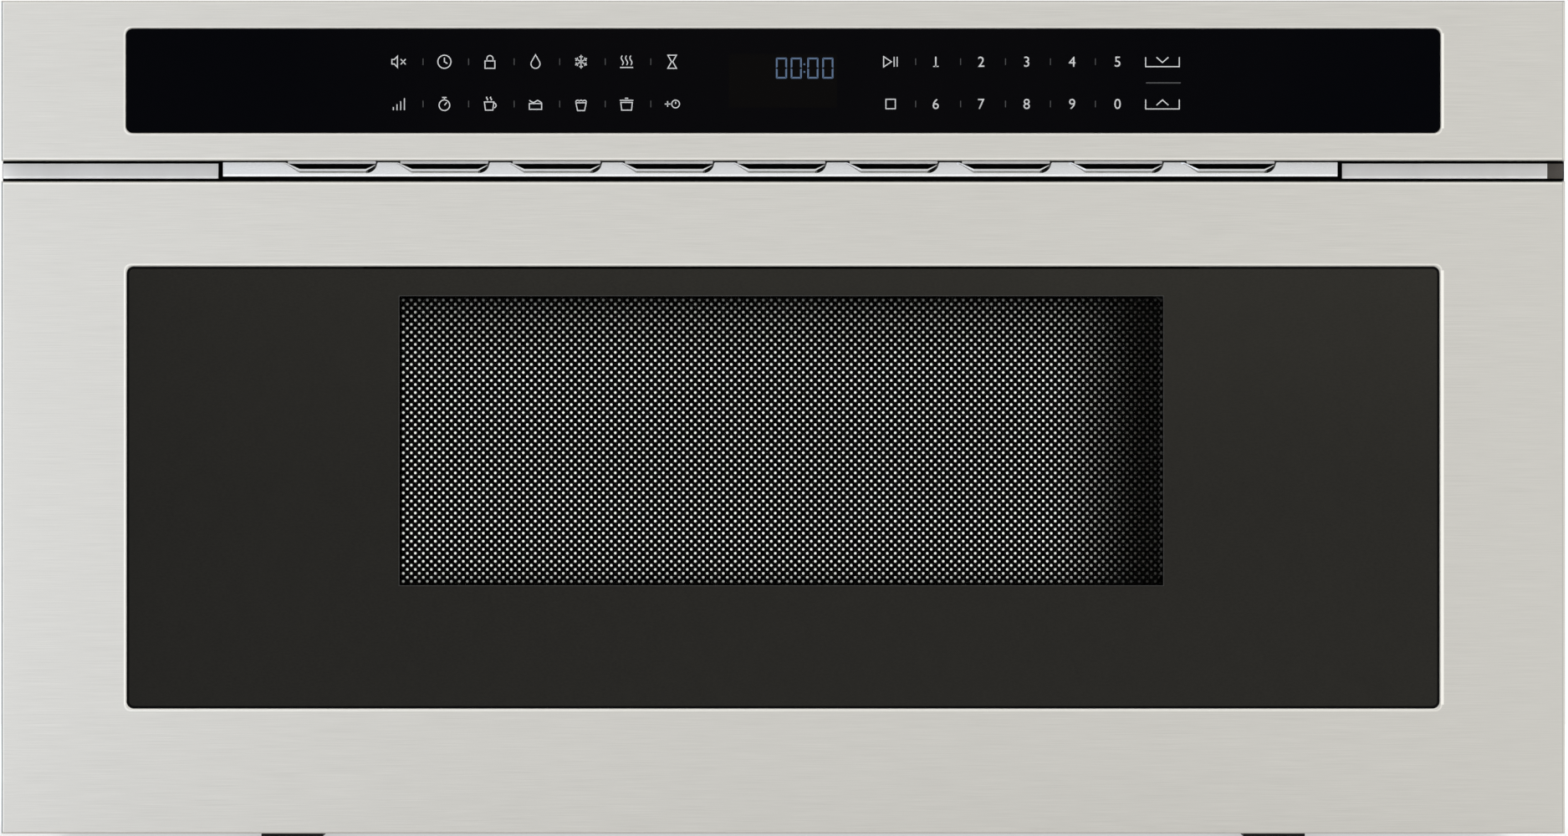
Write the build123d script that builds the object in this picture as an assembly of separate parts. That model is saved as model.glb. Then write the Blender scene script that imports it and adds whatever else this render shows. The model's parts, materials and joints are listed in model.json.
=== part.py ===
"""A built-in microwave drawer with a 30 inch front, in millimetres.

X runs to the right as the cook sees it, the front faces -Y and Z is up. The origin is on the shelf
that the appliance stands on, under the middle of its whole footprint.
"""
from build123d import *
import math
import os

os.makedirs("parts", exist_ok=True)

# ------------------------------------------------------------------ driving sizes
# the front
front_width = 762.0
drawer_front_height = 318.0
air_slot = 10.0  # between the drawer front and the fascia above it
fascia_height = 78.0
front_thickness = 32.0
front_gap = 1.0  # between the shut drawer front and the front plate
shelf_clearance = 2.0  # under the drawer front
skin = 1.0  # outer steel sheet
skin_return = 22.0  # how far the steel turns back
edge_radius = 0.8
bevel = 0.6  # on the edges of the steel cut-outs
window_width = 640.0
window_height = 215.6
window_above_bottom = 60.9
window_corner = 3.5
window_shadow_gap = 1.2  # open ring round the window glass
window_set_back = 0.4
window_glass_thickness = 4.0
mesh_width = 371.0
mesh_height = 140.0
mesh_above_window = 60.6  # mesh field above the lower edge of the window
mesh_off_centre = -0.9
mesh_plate_margin = 18.0
mesh_plate_thickness = 0.8
pane_margin = 9.0
pane_thickness = 3.0
core_wall = 3.0
liner_thickness = 1.5
choke_reach = 28.0  # of the seal's cover round the cavity's mouth
choke_thickness = 1.5
panel_width = 640.0  # control glass
panel_height = 50.2
panel_above_bottom = 13.9
panel_corner = 3.3
panel_glass_thickness = 3.0
panel_set_back = 0.2
housing_wall = 2.0
display_width = 52.6
display_height = 26.0
board_width = 380.0
board_thickness = 1.6
board_behind_glass = 10.0
board_post_radius = 3.0

# the strips in the air slot
grille_width = 543.6
grille_off_centre = -1.4
grille_height = 7.0
grille_above_slot = 2.3
grille_set_back = 14.0
louvre_count = 9
louvre_pitch = 54.8
louvre_width = 46.0
louvre_mouth = 2.6
louvre_lip = 1.0
louvre_reach = 2.5
louvre_below_edge = 0.6
trim_gap = 2.4
trim_height = 7.2
trim_above_slot = 1.5
trim_set_back = 18.0
end_block_width = 7.6
end_margin = 0.6

# the chassis
front_overlap = 25.5  # of the front over each side of the chassis
chassis_depth = 534.0
chassis_height = 362.0
sheet = 1.0
lip = 12.0
flange_sheet = 1.5
flange_reach = 25.0
flange_leg = 30.0
flange_rise = 34.0  # of the top flange over the top cover
flange_hole_radius = 2.5
flange_hole_inset = 10.5  # from the side of the chassis
flange_hole_low = 51.0  # above the base pan
flange_hole_pitch = 230.0
runner_height = 8.0
runner_width = 30.0
runner_spacing = 480.0
runner_inset = 12.0
gland_length = 10.0
gland_radius = 9.0
gland_neck = 7.0
gland_bore = 4.2
gland_nut = 10.0
gland_height = 60.0  # above the base pan
vent_width = 4.0
vent_pitch = 11.0
feed_vents = 5
feed_vent_length = 60.0
side_vents = 6
side_vent_length = 60.0
side_vent_inset = 30.0
rear_vents = 12
rear_vent_length = 60.0
screw_head = 4.0
screw_rise = 2.0
screw_inset = 6.0

# the food bin and the cavity round it
bay_width = 120.5  # of the spaces for the works at both sides of the cavity
bin_height = 181.0
bin_depth = 427.0
bin_wall = 1.5
bin_rim = 4.0
bin_ledge = 14.0
bin_floor_glass = 5.0
bin_underside_gap = 5.5
bin_side_gap = 11.5
bin_top_gap = 5.0
bin_rear_gap = 9.0
well_radius = 90.0
well_height = 15.0
coupling_radius = 30.0  # hole between waveguide and well
mica_margin = 8.0
mica_thickness = 0.8
air_hole_radius = 2.0
air_hole_pitch = 8.0
air_hole_rows = 3
air_hole_columns = 5
duct_depth = 100.0

# the slides
travel = 380.0
slide_length = 440.0
slide_height = 45.0
slide_centre_height = 29.0  # above the base pan
beam_inset = 7.0  # of the beams under the cavity
slide_sheet = 1.2
race_gap = 3.3
ball_radius = 1.6
balls_per_row = 8
member_gap = 1.0  # between the webs of the fixed and the middle member
outer_lip = 8.5
middle_lip = 7.0
inner_lip = 6.6
inner_web = 9.9  # from the beam
outer_cage_centre = 5.6  # from the beam
inner_cage_centre = 6.6
cage_width = 4.4
cage_play = 0.3
beam_height = 78.0
beam_sheet = 1.5
arm_sheet = 1.5
arm_height = 40.0
arm_foot = 24.0
slot_margin = 1.0  # round what passes through the front plate

# the drive
tooth_module = 1.5
pinion_teeth = 16
pressure_angle = 20.0
backlash = 0.5
rack_width = 10.0
rack_back = 6.0
rack_spare = 20.0
rack_foot = 30.0
guide_length = 46.0
guide_cheek = 2.2
pinion_width = 12.0
pinion_set_back = 30.5
pinion_gap = 2.0  # to the gearbox
motor_shaft_radius = 3.0
gearbox_size = 38.0
gearbox_length = 34.0
drive_motor_radius = 17.0
drive_motor_length = 62.0

# latches
hook_sheet = 2.5
hook_length = 32.0
hook_height = 12.0
hook_catch = 6.0
hook_foot = 24.0
hook_above_floor = 90.0
switch_bracket_height = 80.0
switch_bracket_depth = 50.0
switch_length = 28.0
switch_height = 16.0
switch_width = 8.0

# the microwave works
waveguide_width = 86.0
waveguide_height = 38.0
waveguide_past_centre = 44.0
magnetron_width = 85.0
magnetron_depth = 72.0
magnetron_height = 62.0
magnetron_fins = 6
yoke_sheet = 1.5
fin_sheet = 0.6
anode_radius = 19.0
antenna_radius = 9.0
antenna_height = 22.0
filter_box = 36.0
stirrer_shaft = 3.0
stirrer_hub = 9.0
stirrer_above_roof = 4.0
stirrer_grip = 8.0  # of its shaft in the motor
paddle_length = 74.0
paddle_width = 34.0
paddle_sheet = 0.8
paddle_tilt = 10.0
paddles = 3
stirrer_motor_radius = 24.0
stirrer_motor_height = 25.0
motor_ear_length = 68.0
motor_ear_width = 14.0
fan_size = 120.0
fan_depth = 38.0
fan_off_bay = 10.0
fan_above_pan = 190.0
fan_wall = 3.0
fan_stay = 3.0
fan_stays = 3
fan_boss = 22.0
fan_hub = 20.0
fan_wheel = 22.0
fan_blades = 7
blade_sheet = 1.6
blade_pitch = 38.0
fan_gap = 1.0  # between the stays and the wheel
fan_grip = 12.0  # of the wheel on its shaft
fan_tip_gap = 1.5
fan_shaft = 2.5
fan_motor_size = 48.0
fan_motor_length = 26.0
transformer_width = 88.0
transformer_depth = 76.0
transformer_height = 70.0
coil_overhang = 14.0
capacitor_width = 54.0
capacitor_depth = 34.0
capacitor_height = 92.0
capacitor_off_bay = 20.0
tab_width = 6.0
tab_sheet = 0.8
tab_height = 12.0
filter_board_width = 76.0
filter_board_length = 110.0
filter_board_height = 8.0
filter_coil_radius = 17.0
filter_coil_height = 20.0
filter_post_radius = 3.0
filter_part = 16.0
lamp_box_length = 58.0
lamp_box_width = 48.0
lamp_box_height = 40.0
lamp_below_roof = 60.0
lamp_off_middle = 44.0
bulb_radius = 13.0
bulb_cap_radius = 7.0
bulb_cap_length = 18.0
cutout_radius = 8.0
cutout_height = 7.0
cutout_ear = 24.0

# fits
clearance = 0.3
shaft_fit = 0.05
past = 1.0  # how far a cutting shape runs past what it cuts

# ------------------------------------------------------------------ planes and heights
overall_depth = front_thickness + front_gap + chassis_depth + gland_length
y_front = -overall_depth / 2
y_front_back = y_front + front_thickness
y_face = y_front_back + front_gap
y_inside = y_face + flange_sheet
y_panel = y_face + chassis_depth
y_panel_inside = y_panel - sheet

x_front = front_width / 2
x_side = x_front - front_overlap
x_inside = x_side - sheet

z_drawer = shelf_clearance
z_slot = z_drawer + drawer_front_height
z_fascia = z_slot + air_slot
z_top = z_fascia + fascia_height
z_pan = runner_height + sheet
z_cover = runner_height + chassis_height
z_under_cover = z_cover - sheet

x_wall = x_inside - bay_width
x_cavity = x_wall - sheet
x_bin = x_cavity - bin_side_gap - bin_wall
x_beam = x_cavity - beam_inset
x_bay = (x_wall + x_inside) / 2  # middle of the bays

z_slide = z_pan + slide_centre_height
z_beam = z_pan + beam_height
z_cavity_floor = z_beam + sheet
z_ledge = z_cavity_floor + bin_underside_gap
z_bin_floor = z_ledge + bin_wall + bin_floor_glass
z_rim = z_bin_floor + bin_height
z_ceiling = z_rim + bin_top_gap
z_roof = z_ceiling + sheet
z_well = z_roof + well_height
z_motor = z_well + waveguide_height

y_liner_back = y_front_back - choke_thickness
y_liner = y_liner_back - liner_thickness
y_bin_rear = y_liner_back + bin_depth
y_cavity_rear = y_bin_rear + bin_wall + bin_rear_gap
y_middle = (y_inside + y_cavity_rear) / 2

x_core = x_front - skin - clearance
z_core = z_drawer + skin + clearance
z_core_top = z_slot - skin - clearance
z_window = z_drawer + window_above_bottom
z_window_top = z_window + window_height
z_mesh = z_window + mesh_above_window
y_glass = y_front + window_set_back
y_glass_back = y_glass + window_glass_thickness
y_mesh_back = y_glass_back + mesh_plate_thickness + 2 * clearance
y_pane = y_liner - pane_thickness

z_panel = z_fascia + panel_above_bottom
z_panel_top = z_panel + panel_height
y_panel_glass = y_front + panel_set_back
y_panel_back = y_panel_glass + panel_glass_thickness
y_board = y_panel_back + board_behind_glass
z_display = z_panel + (panel_height - display_height) / 2

y_pinion = y_face + pinion_set_back
pinion_radius = tooth_module * pinion_teeth / 2
z_pitch = z_slide + pinion_radius
rack_addendum = 0.87 * tooth_module
dedendum = 1.25 * tooth_module
z_root = z_pitch + dedendum
z_rack_top = z_root + rack_back

outer_race = slide_height / 2 - slide_sheet
middle_half = outer_race - race_gap
middle_race = middle_half - slide_sheet
inner_half = middle_race - race_gap
inner_back = inner_web + slide_sheet

x_hook = x_bay
z_hook = z_cavity_floor + hook_above_floor
x_fan = x_bay - fan_off_bay
z_fan = z_pan + fan_above_pan
y_fan = y_panel_inside - fan_depth
x_gland = -x_bay
z_gland = z_pan + gland_height
z_lamp = z_roof - lamp_below_roof
y_lamp = y_middle - lamp_off_middle


# ------------------------------------------------------------------ shared shapes
def block(x0, x1, y0, y1, z0, z1):
    """A block between two corners."""
    return Pos((x0 + x1) / 2, (y0 + y1) / 2, (z0 + z1) / 2) * Box(x1 - x0, y1 - y0, z1 - z0)


def around(x, y, half_x, half_y, z0, z1):
    """A block round an upright line."""
    return block(x - half_x, x + half_x, y - half_y, y + half_y, z0, z1)


def rod(start, way, radius, length):
    """A round bar from a point along a unit direction."""
    return extrude(Plane(origin=start, z_dir=way) * Circle(radius), length)


def upright_plate(half_x, z0, z1, y0, y1, corner):
    """A centred plate that faces the cook, with round corners."""
    at = Plane(origin=(0, y0, (z0 + z1) / 2), x_dir=(1, 0, 0), z_dir=(0, 1, 0))
    return extrude(at * RectangleRounded(2 * half_x, z1 - z0, corner), y1 - y0)


def along_x(outline, x0, x1):
    """A closed outline of (y, z) points carried from x0 to x1."""
    edge = Polyline(*[(x0, y, z) for y, z in outline], close=True)
    return extrude(make_face(edge), amount=x1 - x0, dir=(1, 0, 0))


def span(a, b):
    """Two numbers in rising order."""
    return (a, b) if a < b else (b, a)


def side_span(side, u0, u1):
    """The X limits, on one side, of what lies between two distances inward from the beam."""
    return span(side * (x_beam - u0), side * (x_beam - u1))


def both(shape):
    """A shape and its mirror image on the other side."""
    return [shape, mirror(shape, about=Plane.YZ)]


def save(name, *shapes):
    """Writes one node: every solid of the shapes given."""
    solids = [s for shape in shapes for s in shape.solids()]
    whole = solids[0] if len(solids) == 1 else Compound(children=solids)
    export_step(whole, f"parts/{name}.step")


def tray(z0, z1):
    """A pressed front of full width: a sheet with its four edges turned back."""
    outer = block(-x_front, x_front, y_front, y_front + skin_return, z0, z1)
    outer = fillet(outer.faces().sort_by(Axis.Y)[0].edges(), edge_radius)
    return outer - block(
        -x_front + skin, x_front - skin, y_front + skin, y_front + skin_return + past,
        z0 + skin, z1 - skin,
    )


def bevelled_cut(shape, half_x, z0, z1, corner):
    """Cuts a hole with round corners through a front sheet and bevels its front edge."""
    shape -= upright_plate(half_x, z0, z1, y_front - past, y_front + skin + past, corner)
    front = shape.faces().filter_by(Axis.Y).sort_by(Axis.Y)[0]
    return chamfer(front.inner_wires()[0].edges(), bevel)


# ------------------------------------------------------------------ drawer front
def drawer_skin():
    """The brushed steel face with its window cut-out."""
    shape = tray(z_drawer, z_slot)
    return bevelled_cut(shape, window_width / 2, z_window, z_window_top, window_corner)


def window_outline(gap, y0, y1):
    """The window's outline, smaller all round by a gap."""
    return upright_plate(
        window_width / 2 - gap, z_window + gap, z_window_top - gap, y0, y1, window_corner - gap
    )


def window_glass():
    """The dark outer pane."""
    return window_outline(window_shadow_gap, y_glass, y_glass_back)


def mesh_field(margin, y0, y1):
    """A block over the mesh field, larger all round by a margin."""
    x0 = mesh_off_centre - mesh_width / 2 - margin
    x1 = mesh_off_centre + mesh_width / 2 + margin
    return block(x0, x1, y0, y1, z_mesh - margin, z_mesh + mesh_height + margin)


def mesh_plate():
    """The steel screen behind the glass, drawn without its holes."""
    return mesh_field(mesh_plate_margin, y_mesh_back - mesh_plate_thickness, y_mesh_back)


def door_core():
    """The moulded frame that holds glass, screen and inner pane inside the skin."""
    shape = block(-x_core, x_core, y_front + skin, y_liner, z_core, z_core_top)
    shape -= window_outline(window_shadow_gap - clearance, y_front, y_glass_back)
    shape -= mesh_field(mesh_plate_margin + clearance, y_front, y_mesh_back)
    hollow = block(
        -x_core + core_wall, x_core - core_wall, y_mesh_back + core_wall, y_liner + past,
        z_core + core_wall, z_core_top - core_wall,
    )
    hollow -= mesh_field(pane_margin + core_wall, y_front, y_liner + past)
    for x in (-x_core / 2 - mesh_width / 4, x_core / 2 + mesh_width / 4):
        hollow -= block(x, x + core_wall, y_front, y_liner + past, z_drawer, z_slot)
    shape -= hollow
    shape -= mesh_field(clearance, y_front, y_liner + past)
    return shape - mesh_field(pane_margin + clearance, y_pane, y_liner + past)


def inner_pane():
    """The clear pane that closes the window from behind."""
    return mesh_field(pane_margin, y_pane, y_liner)


def door_liner():
    """The steel plate that closes the back of the drawer front and carries the bin."""
    shape = block(-x_core, x_core, y_liner, y_liner_back, z_core, z_core_top)
    return shape - mesh_field(0, y_liner - past, y_liner_back + past)


def choke_cover():
    """The plastic cover of the microwave seal, a frame round the mouth of the bin."""
    top = min(z_ceiling + choke_reach, z_core_top)
    bottom = z_cavity_floor - choke_reach / 2
    shape = upright_plate(
        x_cavity + choke_reach, bottom, top, y_liner_back, y_front_back, window_corner
    )
    inner = x_bin + bin_wall + bin_rim + clearance
    return shape - block(-inner, inner, y_liner, y_face, z_ledge - clearance, z_rim + clearance)


# ------------------------------------------------------------------ food bin
def bin_walls():
    """The bin that slides out with the front: two sides and a rear, with a rolled rim and a ledge."""
    x1 = x_bin + bin_wall
    y1 = y_bin_rear + bin_wall
    shape = block(-x1, x1, y_liner_back, y1, z_ledge, z_rim)
    shape -= block(
        -x_bin, x_bin, y_liner_back - past, y_bin_rear, z_ledge + bin_wall, z_rim + past
    )
    half = x_bin - bin_ledge
    y2 = y_liner_back + bin_ledge
    shape -= block(-half, half, y2, y_bin_rear - bin_ledge, z_ledge - past, z_rim)
    x2 = x1 + bin_rim
    rim = block(-x2, x2, y_liner_back, y1 + bin_rim, z_rim - bin_rim, z_rim)
    rim -= block(-x1, x1, y_liner_back - past, y1, z_rim - bin_rim - past, z_rim + past)
    rolled = [e for e in rim.edges().filter_by(Axis.Y) if abs(e.center().X) > x1 + bin_rim / 2]
    return shape + fillet(rolled, 0.45 * bin_rim)


def bin_floor():
    """The flat glass ceramic floor of the bin."""
    half = x_bin - clearance
    return block(
        -half, half, y_liner_back + clearance, y_bin_rear - clearance, z_ledge + bin_wall, z_bin_floor
    )


# ------------------------------------------------------------------ slides
def member(side, web, lips, half):
    """One C section of a slide. web and lips are (from, to) distances inward from the beam."""
    y1 = y_inside + slide_length
    shape = block(*side_span(side, *web), y_inside, y1, z_slide - half, z_slide + half)
    for z in (z_slide - half, z_slide + half - slide_sheet):
        shape += block(*side_span(side, *lips), y_inside, y1, z, z + slide_sheet)
    return shape


def slide_outers():
    """The members fixed to the beams."""
    half = outer_race + slide_sheet
    return [member(side, (0, slide_sheet), (0, outer_lip), half) for side in (-1, 1)]


def slide_middles():
    """The members between, which travel half way."""
    web = slide_sheet + member_gap
    limits = (web, web + slide_sheet)
    return [member(side, limits, (web, web + middle_lip), middle_half) for side in (-1, 1)]


def slide_inners():
    """The members that carry the drawer, open towards the beams."""
    limits = (inner_web, inner_back)
    lips = (inner_back - inner_lip, inner_back)
    return [member(side, limits, lips, inner_half) for side in (-1, 1)]


def ball_rows(centre, race):
    """The cages of both slides in one pair of races: strips with pockets, and their balls."""
    start = y_inside + travel / 4
    length = slide_length - travel / 2
    pitch = length / balls_per_row
    made = []
    for side in (-1, 1):
        x = side * (x_beam - centre)
        for up in (-1, 1):
            z = z_slide + up * (race - race_gap / 2)
            half = race_gap / 2 - cage_play
            strip = block(
                x - cage_width / 2, x + cage_width / 2, start, start + length, z - half, z + half
            )
            for i in range(balls_per_row):
                at = Pos(x, start + pitch * (i + 0.5), z)
                strip -= at * Cylinder(ball_radius + clearance / 2, race_gap)
                made.append(at * Sphere(ball_radius))
            made.append(strip)
    return made


def rail_beams():
    """The two steel channels that stand on the base pan and carry slides and cavity."""
    made = []
    y1 = y_inside + slide_length
    for side in (-1, 1):
        shape = block(*side_span(side, 0, -beam_sheet), y_inside, y1, z_pan, z_beam)
        for z in (z_pan, z_beam - beam_sheet):
            shape += block(*side_span(side, 0, -lip), y_inside, y1, z, z + beam_sheet)
        made.append(shape)
    return made


def drawer_arms():
    """The brackets from the inner slide members to the liner."""
    made = []
    z0 = z_slide - arm_height / 2
    z1 = z_slide + arm_height / 2
    y1 = y_inside + slide_length
    for side in (-1, 1):
        web = side_span(side, inner_back, inner_back + arm_sheet)
        foot = side_span(side, inner_back, inner_back + arm_foot)
        shape = block(*web, y_liner_back, y_inside, z0, z1)
        shape += block(*web, y_inside, y1, z_slide - inner_half, z_slide + inner_half)
        shape += block(*foot, y_liner_back, y_liner_back + liner_thickness, z0, z1)
        made.append(shape)
    return made


# ------------------------------------------------------------------ drive
def involute(base, radius):
    """How far an involute has turned when it reaches a radius."""
    angle = math.acos(min(base / radius, 1))
    return math.tan(angle) - angle


def drive_pinion():
    """The spur pinion on the gear motor's shaft."""
    base = pinion_radius * math.cos(math.radians(pressure_angle))
    tip = pinion_radius + tooth_module
    steps = 5
    half = math.pi / 2 / pinion_teeth - backlash / 4 / pinion_radius
    half_base = half + involute(base, pinion_radius)
    flank = [(pinion_radius - dedendum, half_base)]
    for i in range(steps + 1):
        r = base + (tip - base) * i / steps
        flank.append((r, half_base - involute(base, r)))
    points = []
    for tooth in range(pinion_teeth):
        middle = math.pi / 2 + (tooth + 0.5) * 2 * math.pi / pinion_teeth
        turns = [(r, middle - a) for r, a in flank] + [(r, middle + a) for r, a in reversed(flank)]
        points += [(y_pinion + r * math.cos(a), z_slide + r * math.sin(a)) for r, a in turns]
    shape = along_x(points, -pinion_width / 2, pinion_width / 2)
    bore = motor_shaft_radius + shaft_fit
    return shape - rod((-pinion_width, y_pinion, z_slide), (1, 0, 0), bore, 2 * pinion_width)


def drive_rack():
    """The toothed bar under the cavity, with its foot on the liner."""
    slope = math.tan(math.radians(pressure_angle))
    pitch = math.pi * tooth_module
    half = pitch / 4 - backlash / 4
    z_tip = z_pitch - rack_addendum
    half_tip = half - rack_addendum * slope
    half_root = half + dedendum * slope
    y_end = y_pinion + travel + rack_spare
    first = -int((y_pinion - y_face) // pitch) + 1
    last = int((y_end - y_pinion) // pitch) - 1
    outline = [(y_liner_back, z_root)]
    for i in range(first, last + 1):
        y = y_pinion + i * pitch
        outline += [(y - half_root, z_root), (y - half_tip, z_tip)]
        outline += [(y + half_tip, z_tip), (y + half_root, z_root)]
    outline += [(y_end, z_root), (y_end, z_rack_top), (y_liner_back, z_rack_top)]
    shape = along_x(outline, -rack_width / 2, rack_width / 2)
    y1 = y_liner_back + liner_thickness
    return shape + block(
        -rack_foot / 2, rack_foot / 2, y_liner_back, y1, z_rack_top - rack_foot / 2, z_rack_top
    )


def rack_guide():
    """The plastic shoe under the cavity floor that the rack runs in."""
    side = rack_width / 2 + clearance
    half = side + guide_cheek
    y0 = y_pinion - guide_length / 2
    y1 = y0 + guide_length
    shape = block(-half, half, y0, y1, z_root + past, z_beam)
    return shape - block(-side, side, y0 - past, y1 + past, z_root, z_rack_top + clearance)


def drive_motor():
    """The gear motor with its shaft, on a foot on the base pan."""
    x0 = pinion_width / 2 + pinion_gap
    x1 = x0 + gearbox_length
    half = gearbox_size / 2
    axis = (1, 0, 0)
    shape = block(x0, x1, y_pinion - half, y_pinion + half, z_pan, z_slide + half)
    shape += rod((x1, y_pinion, z_slide), axis, drive_motor_radius, drive_motor_length)
    return shape + rod((-x0, y_pinion, z_slide), axis, motor_shaft_radius, 2 * x0)


# ------------------------------------------------------------------ chassis
def base_pan():
    """The base, with feed slots under the bays."""
    shape = block(-x_side, x_side, y_inside, y_panel, runner_height, z_pan)
    for side in (-1, 1):
        for i in range(feed_vents):
            y = y_middle + (i - (feed_vents - 1) / 2) * 2 * vent_pitch
            shape -= around(
                side * x_bay, y, feed_vent_length / 2, vent_width, runner_height - past, z_pan + past
            )
    return shape


def base_runners():
    """The two skids that the appliance stands on."""
    y0 = y_inside + runner_inset
    y1 = y_panel - runner_inset
    x0 = runner_spacing / 2 - runner_width / 2
    return both(block(x0, x0 + runner_width, y0, y1, 0, runner_height))


def side_panel(side):
    """A side sheet with its top and bottom turned inward and its air slots."""
    x0, x1 = span(side * x_inside, side * x_side)
    shape = block(x0, x1, y_inside, y_panel_inside, z_pan, z_under_cover)
    turned = span(side * (x_side - lip), side * x_side)
    for z in (z_pan, z_under_cover - sheet):
        shape += block(*turned, y_inside, y_panel_inside, z, z + sheet)
    y1 = y_panel_inside - side_vent_inset
    for i in range(side_vents):
        z = z_beam + (i + 1) * vent_pitch
        shape -= block(x0 - past, x1 + past, y1 - side_vent_length, y1, z, z + vent_width)
    return shape


def top_cover():
    """The flat sheet over the works."""
    return block(-x_side, x_side, y_inside, y_panel, z_under_cover, z_cover)


def rear_panel():
    """The back sheet with the fan's grille, more air slots and the hole for the gland."""
    shape = block(-x_side, x_side, y_panel_inside, y_panel, z_pan, z_under_cover)
    y0 = y_panel_inside - past
    y1 = y_panel + past
    reach = fan_size / 2 - fan_wall
    for i in range(int(2 * reach / vent_pitch)):
        z = z_fan - reach + (i + 0.5) * vent_pitch
        half = math.sqrt(reach**2 - (z - z_fan) ** 2)
        shape -= block(x_fan - half, x_fan + half, y0, y1, z - vent_width / 2, z + vent_width / 2)
    for i in range(rear_vents):
        x = -x_bay + (i - (rear_vents - 1) / 2) * 2 * vent_width
        z = z_fan - rear_vent_length / 2
        shape -= block(x - vent_width / 2, x + vent_width / 2, y0, y1, z, z + rear_vent_length)
    return shape - rod((x_gland, y0, z_gland), (0, 1, 0), gland_neck, sheet + 2 * past)


def front_plate():
    """The plate round the cavity's mouth, with slots for slides, rack, hooks and exhaust air."""
    y0 = y_face - past
    y1 = y_inside + past
    shape = block(-x_side, x_side, y_face, y_inside, z_pan, z_cover)
    shape -= block(-x_cavity, x_cavity, y0, y1, z_cavity_floor, z_ceiling)
    half = slide_height / 2 + slot_margin
    reach = hook_height + slot_margin
    for side in (-1, 1):
        passage = side_span(side, -slot_margin, inner_back + arm_sheet + slot_margin)
        shape -= block(*passage, y0, y1, z_slide - half, z_slide + half)
        hook = side * x_hook
        shape -= block(hook - hook_sheet, hook + hook_sheet, y0, y1, z_hook - reach, z_hook + reach)
    half = rack_width / 2 + slot_margin
    z0 = z_pitch - rack_addendum - slot_margin
    shape -= block(-half, half, y0, y1, z0, z_rack_top + slot_margin)
    half = grille_width / 2 - lip
    return shape - block(
        grille_off_centre - half, grille_off_centre + half, y0, y1,
        z_slot + grille_above_slot + skin, z_fascia,
    )


def side_flanges():
    """The angles at the sides that screw to the face of the cabinet."""
    x1 = x_side + flange_reach
    shape = block(x_side, x1, y_face, y_inside, z_pan, z_cover)
    shape += block(x_side, x_side + flange_sheet, y_face, y_face + flange_leg, z_pan, z_cover)
    for i in range(2):
        at = (x_side + flange_hole_inset, y_face - past, z_pan + flange_hole_low + i * flange_hole_pitch)
        shape -= rod(at, (0, 1, 0), flange_hole_radius, flange_sheet + 2 * past)
    return both(shape)


def top_flange():
    """The angle above the chassis, which carries the control housing."""
    x1 = x_side + flange_reach
    shape = block(-x1, x1, y_face, y_inside, z_cover, z_cover + flange_rise)
    return shape + block(
        -x_side, x_side, y_face, y_face + flange_leg, z_cover, z_cover + flange_sheet
    )


def cord_gland():
    """The strain relief in the rear panel, with its open bore."""
    y0 = y_panel_inside - gland_nut
    y1 = y_panel + gland_length
    way = (0, 1, 0)
    shape = rod((x_gland, y0, z_gland), way, gland_neck - clearance / 2, y1 - y0)
    shape += rod((x_gland, y_panel, z_gland), way, gland_radius, gland_length)
    shape += rod((x_gland, y0, z_gland), way, gland_radius, gland_nut)
    return shape - rod((x_gland, y0 - past, z_gland), way, gland_bore, y1 - y0 + 2 * past)


def case_screws():
    """The heads of the screws that hold the top cover and the rear panel."""
    made = []
    x = x_side - screw_inset
    top_rows = (y_inside + 2 * flange_leg, y_middle, y_panel_inside - flange_leg)
    rear_rows = (z_pan + 2 * lip, z_hook, z_under_cover - 2 * lip)
    for side in (-1, 1):
        for y in top_rows:
            made.append(rod((side * x, y, z_cover), (0, 0, 1), screw_head, screw_rise))
        for z in rear_rows:
            made.append(rod((side * x, y_panel, z), (0, 1, 0), screw_head, screw_rise))
    return made


# ------------------------------------------------------------------ cavity
def cavity_wrapper():
    """The folded sheet over the bin: two walls and a ceiling with the stirrer's well and air holes."""
    up = (0, 0, 1)
    shape = block(-x_wall, x_wall, y_inside, y_cavity_rear, z_cavity_floor, z_roof)
    shape -= block(
        -x_cavity, x_cavity, y_inside - past, y_cavity_rear + past, z_cavity_floor - past, z_ceiling
    )
    shape += rod((0, y_middle, z_ceiling), up, well_radius + sheet, z_well - z_ceiling)
    shape -= rod((0, y_middle, z_ceiling - past), up, well_radius, z_well - sheet - z_ceiling + past)
    shape -= rod((0, y_middle, z_ceiling), up, coupling_radius, z_well - z_ceiling + past)
    wall_start = {-1: -x_wall - past, 1: x_cavity - past}
    for row in range(air_hole_rows):
        for column in range(air_hole_columns):
            along = (column - (air_hole_columns - 1) / 2) * air_hole_pitch
            across = (row - (air_hole_rows - 1) / 2) * air_hole_pitch
            for x in wall_start.values():
                at = (x, y_lamp + along, z_lamp + across)
                shape -= rod(at, (1, 0, 0), air_hole_radius, sheet + 2 * past)
            at = (along, y_inside + duct_depth / 2 + across, z_ceiling - past)
            shape -= rod(at, up, air_hole_radius, sheet + 2 * past)
    return shape


def cavity_floor():
    """The sheet under the bin, on top of the beams."""
    return block(-x_wall, x_wall, y_inside, y_cavity_rear + sheet, z_beam, z_cavity_floor)


def cavity_rear():
    """The sheet behind the bin."""
    return block(-x_wall, x_wall, y_cavity_rear, y_cavity_rear + sheet, z_cavity_floor, z_roof)


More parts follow.
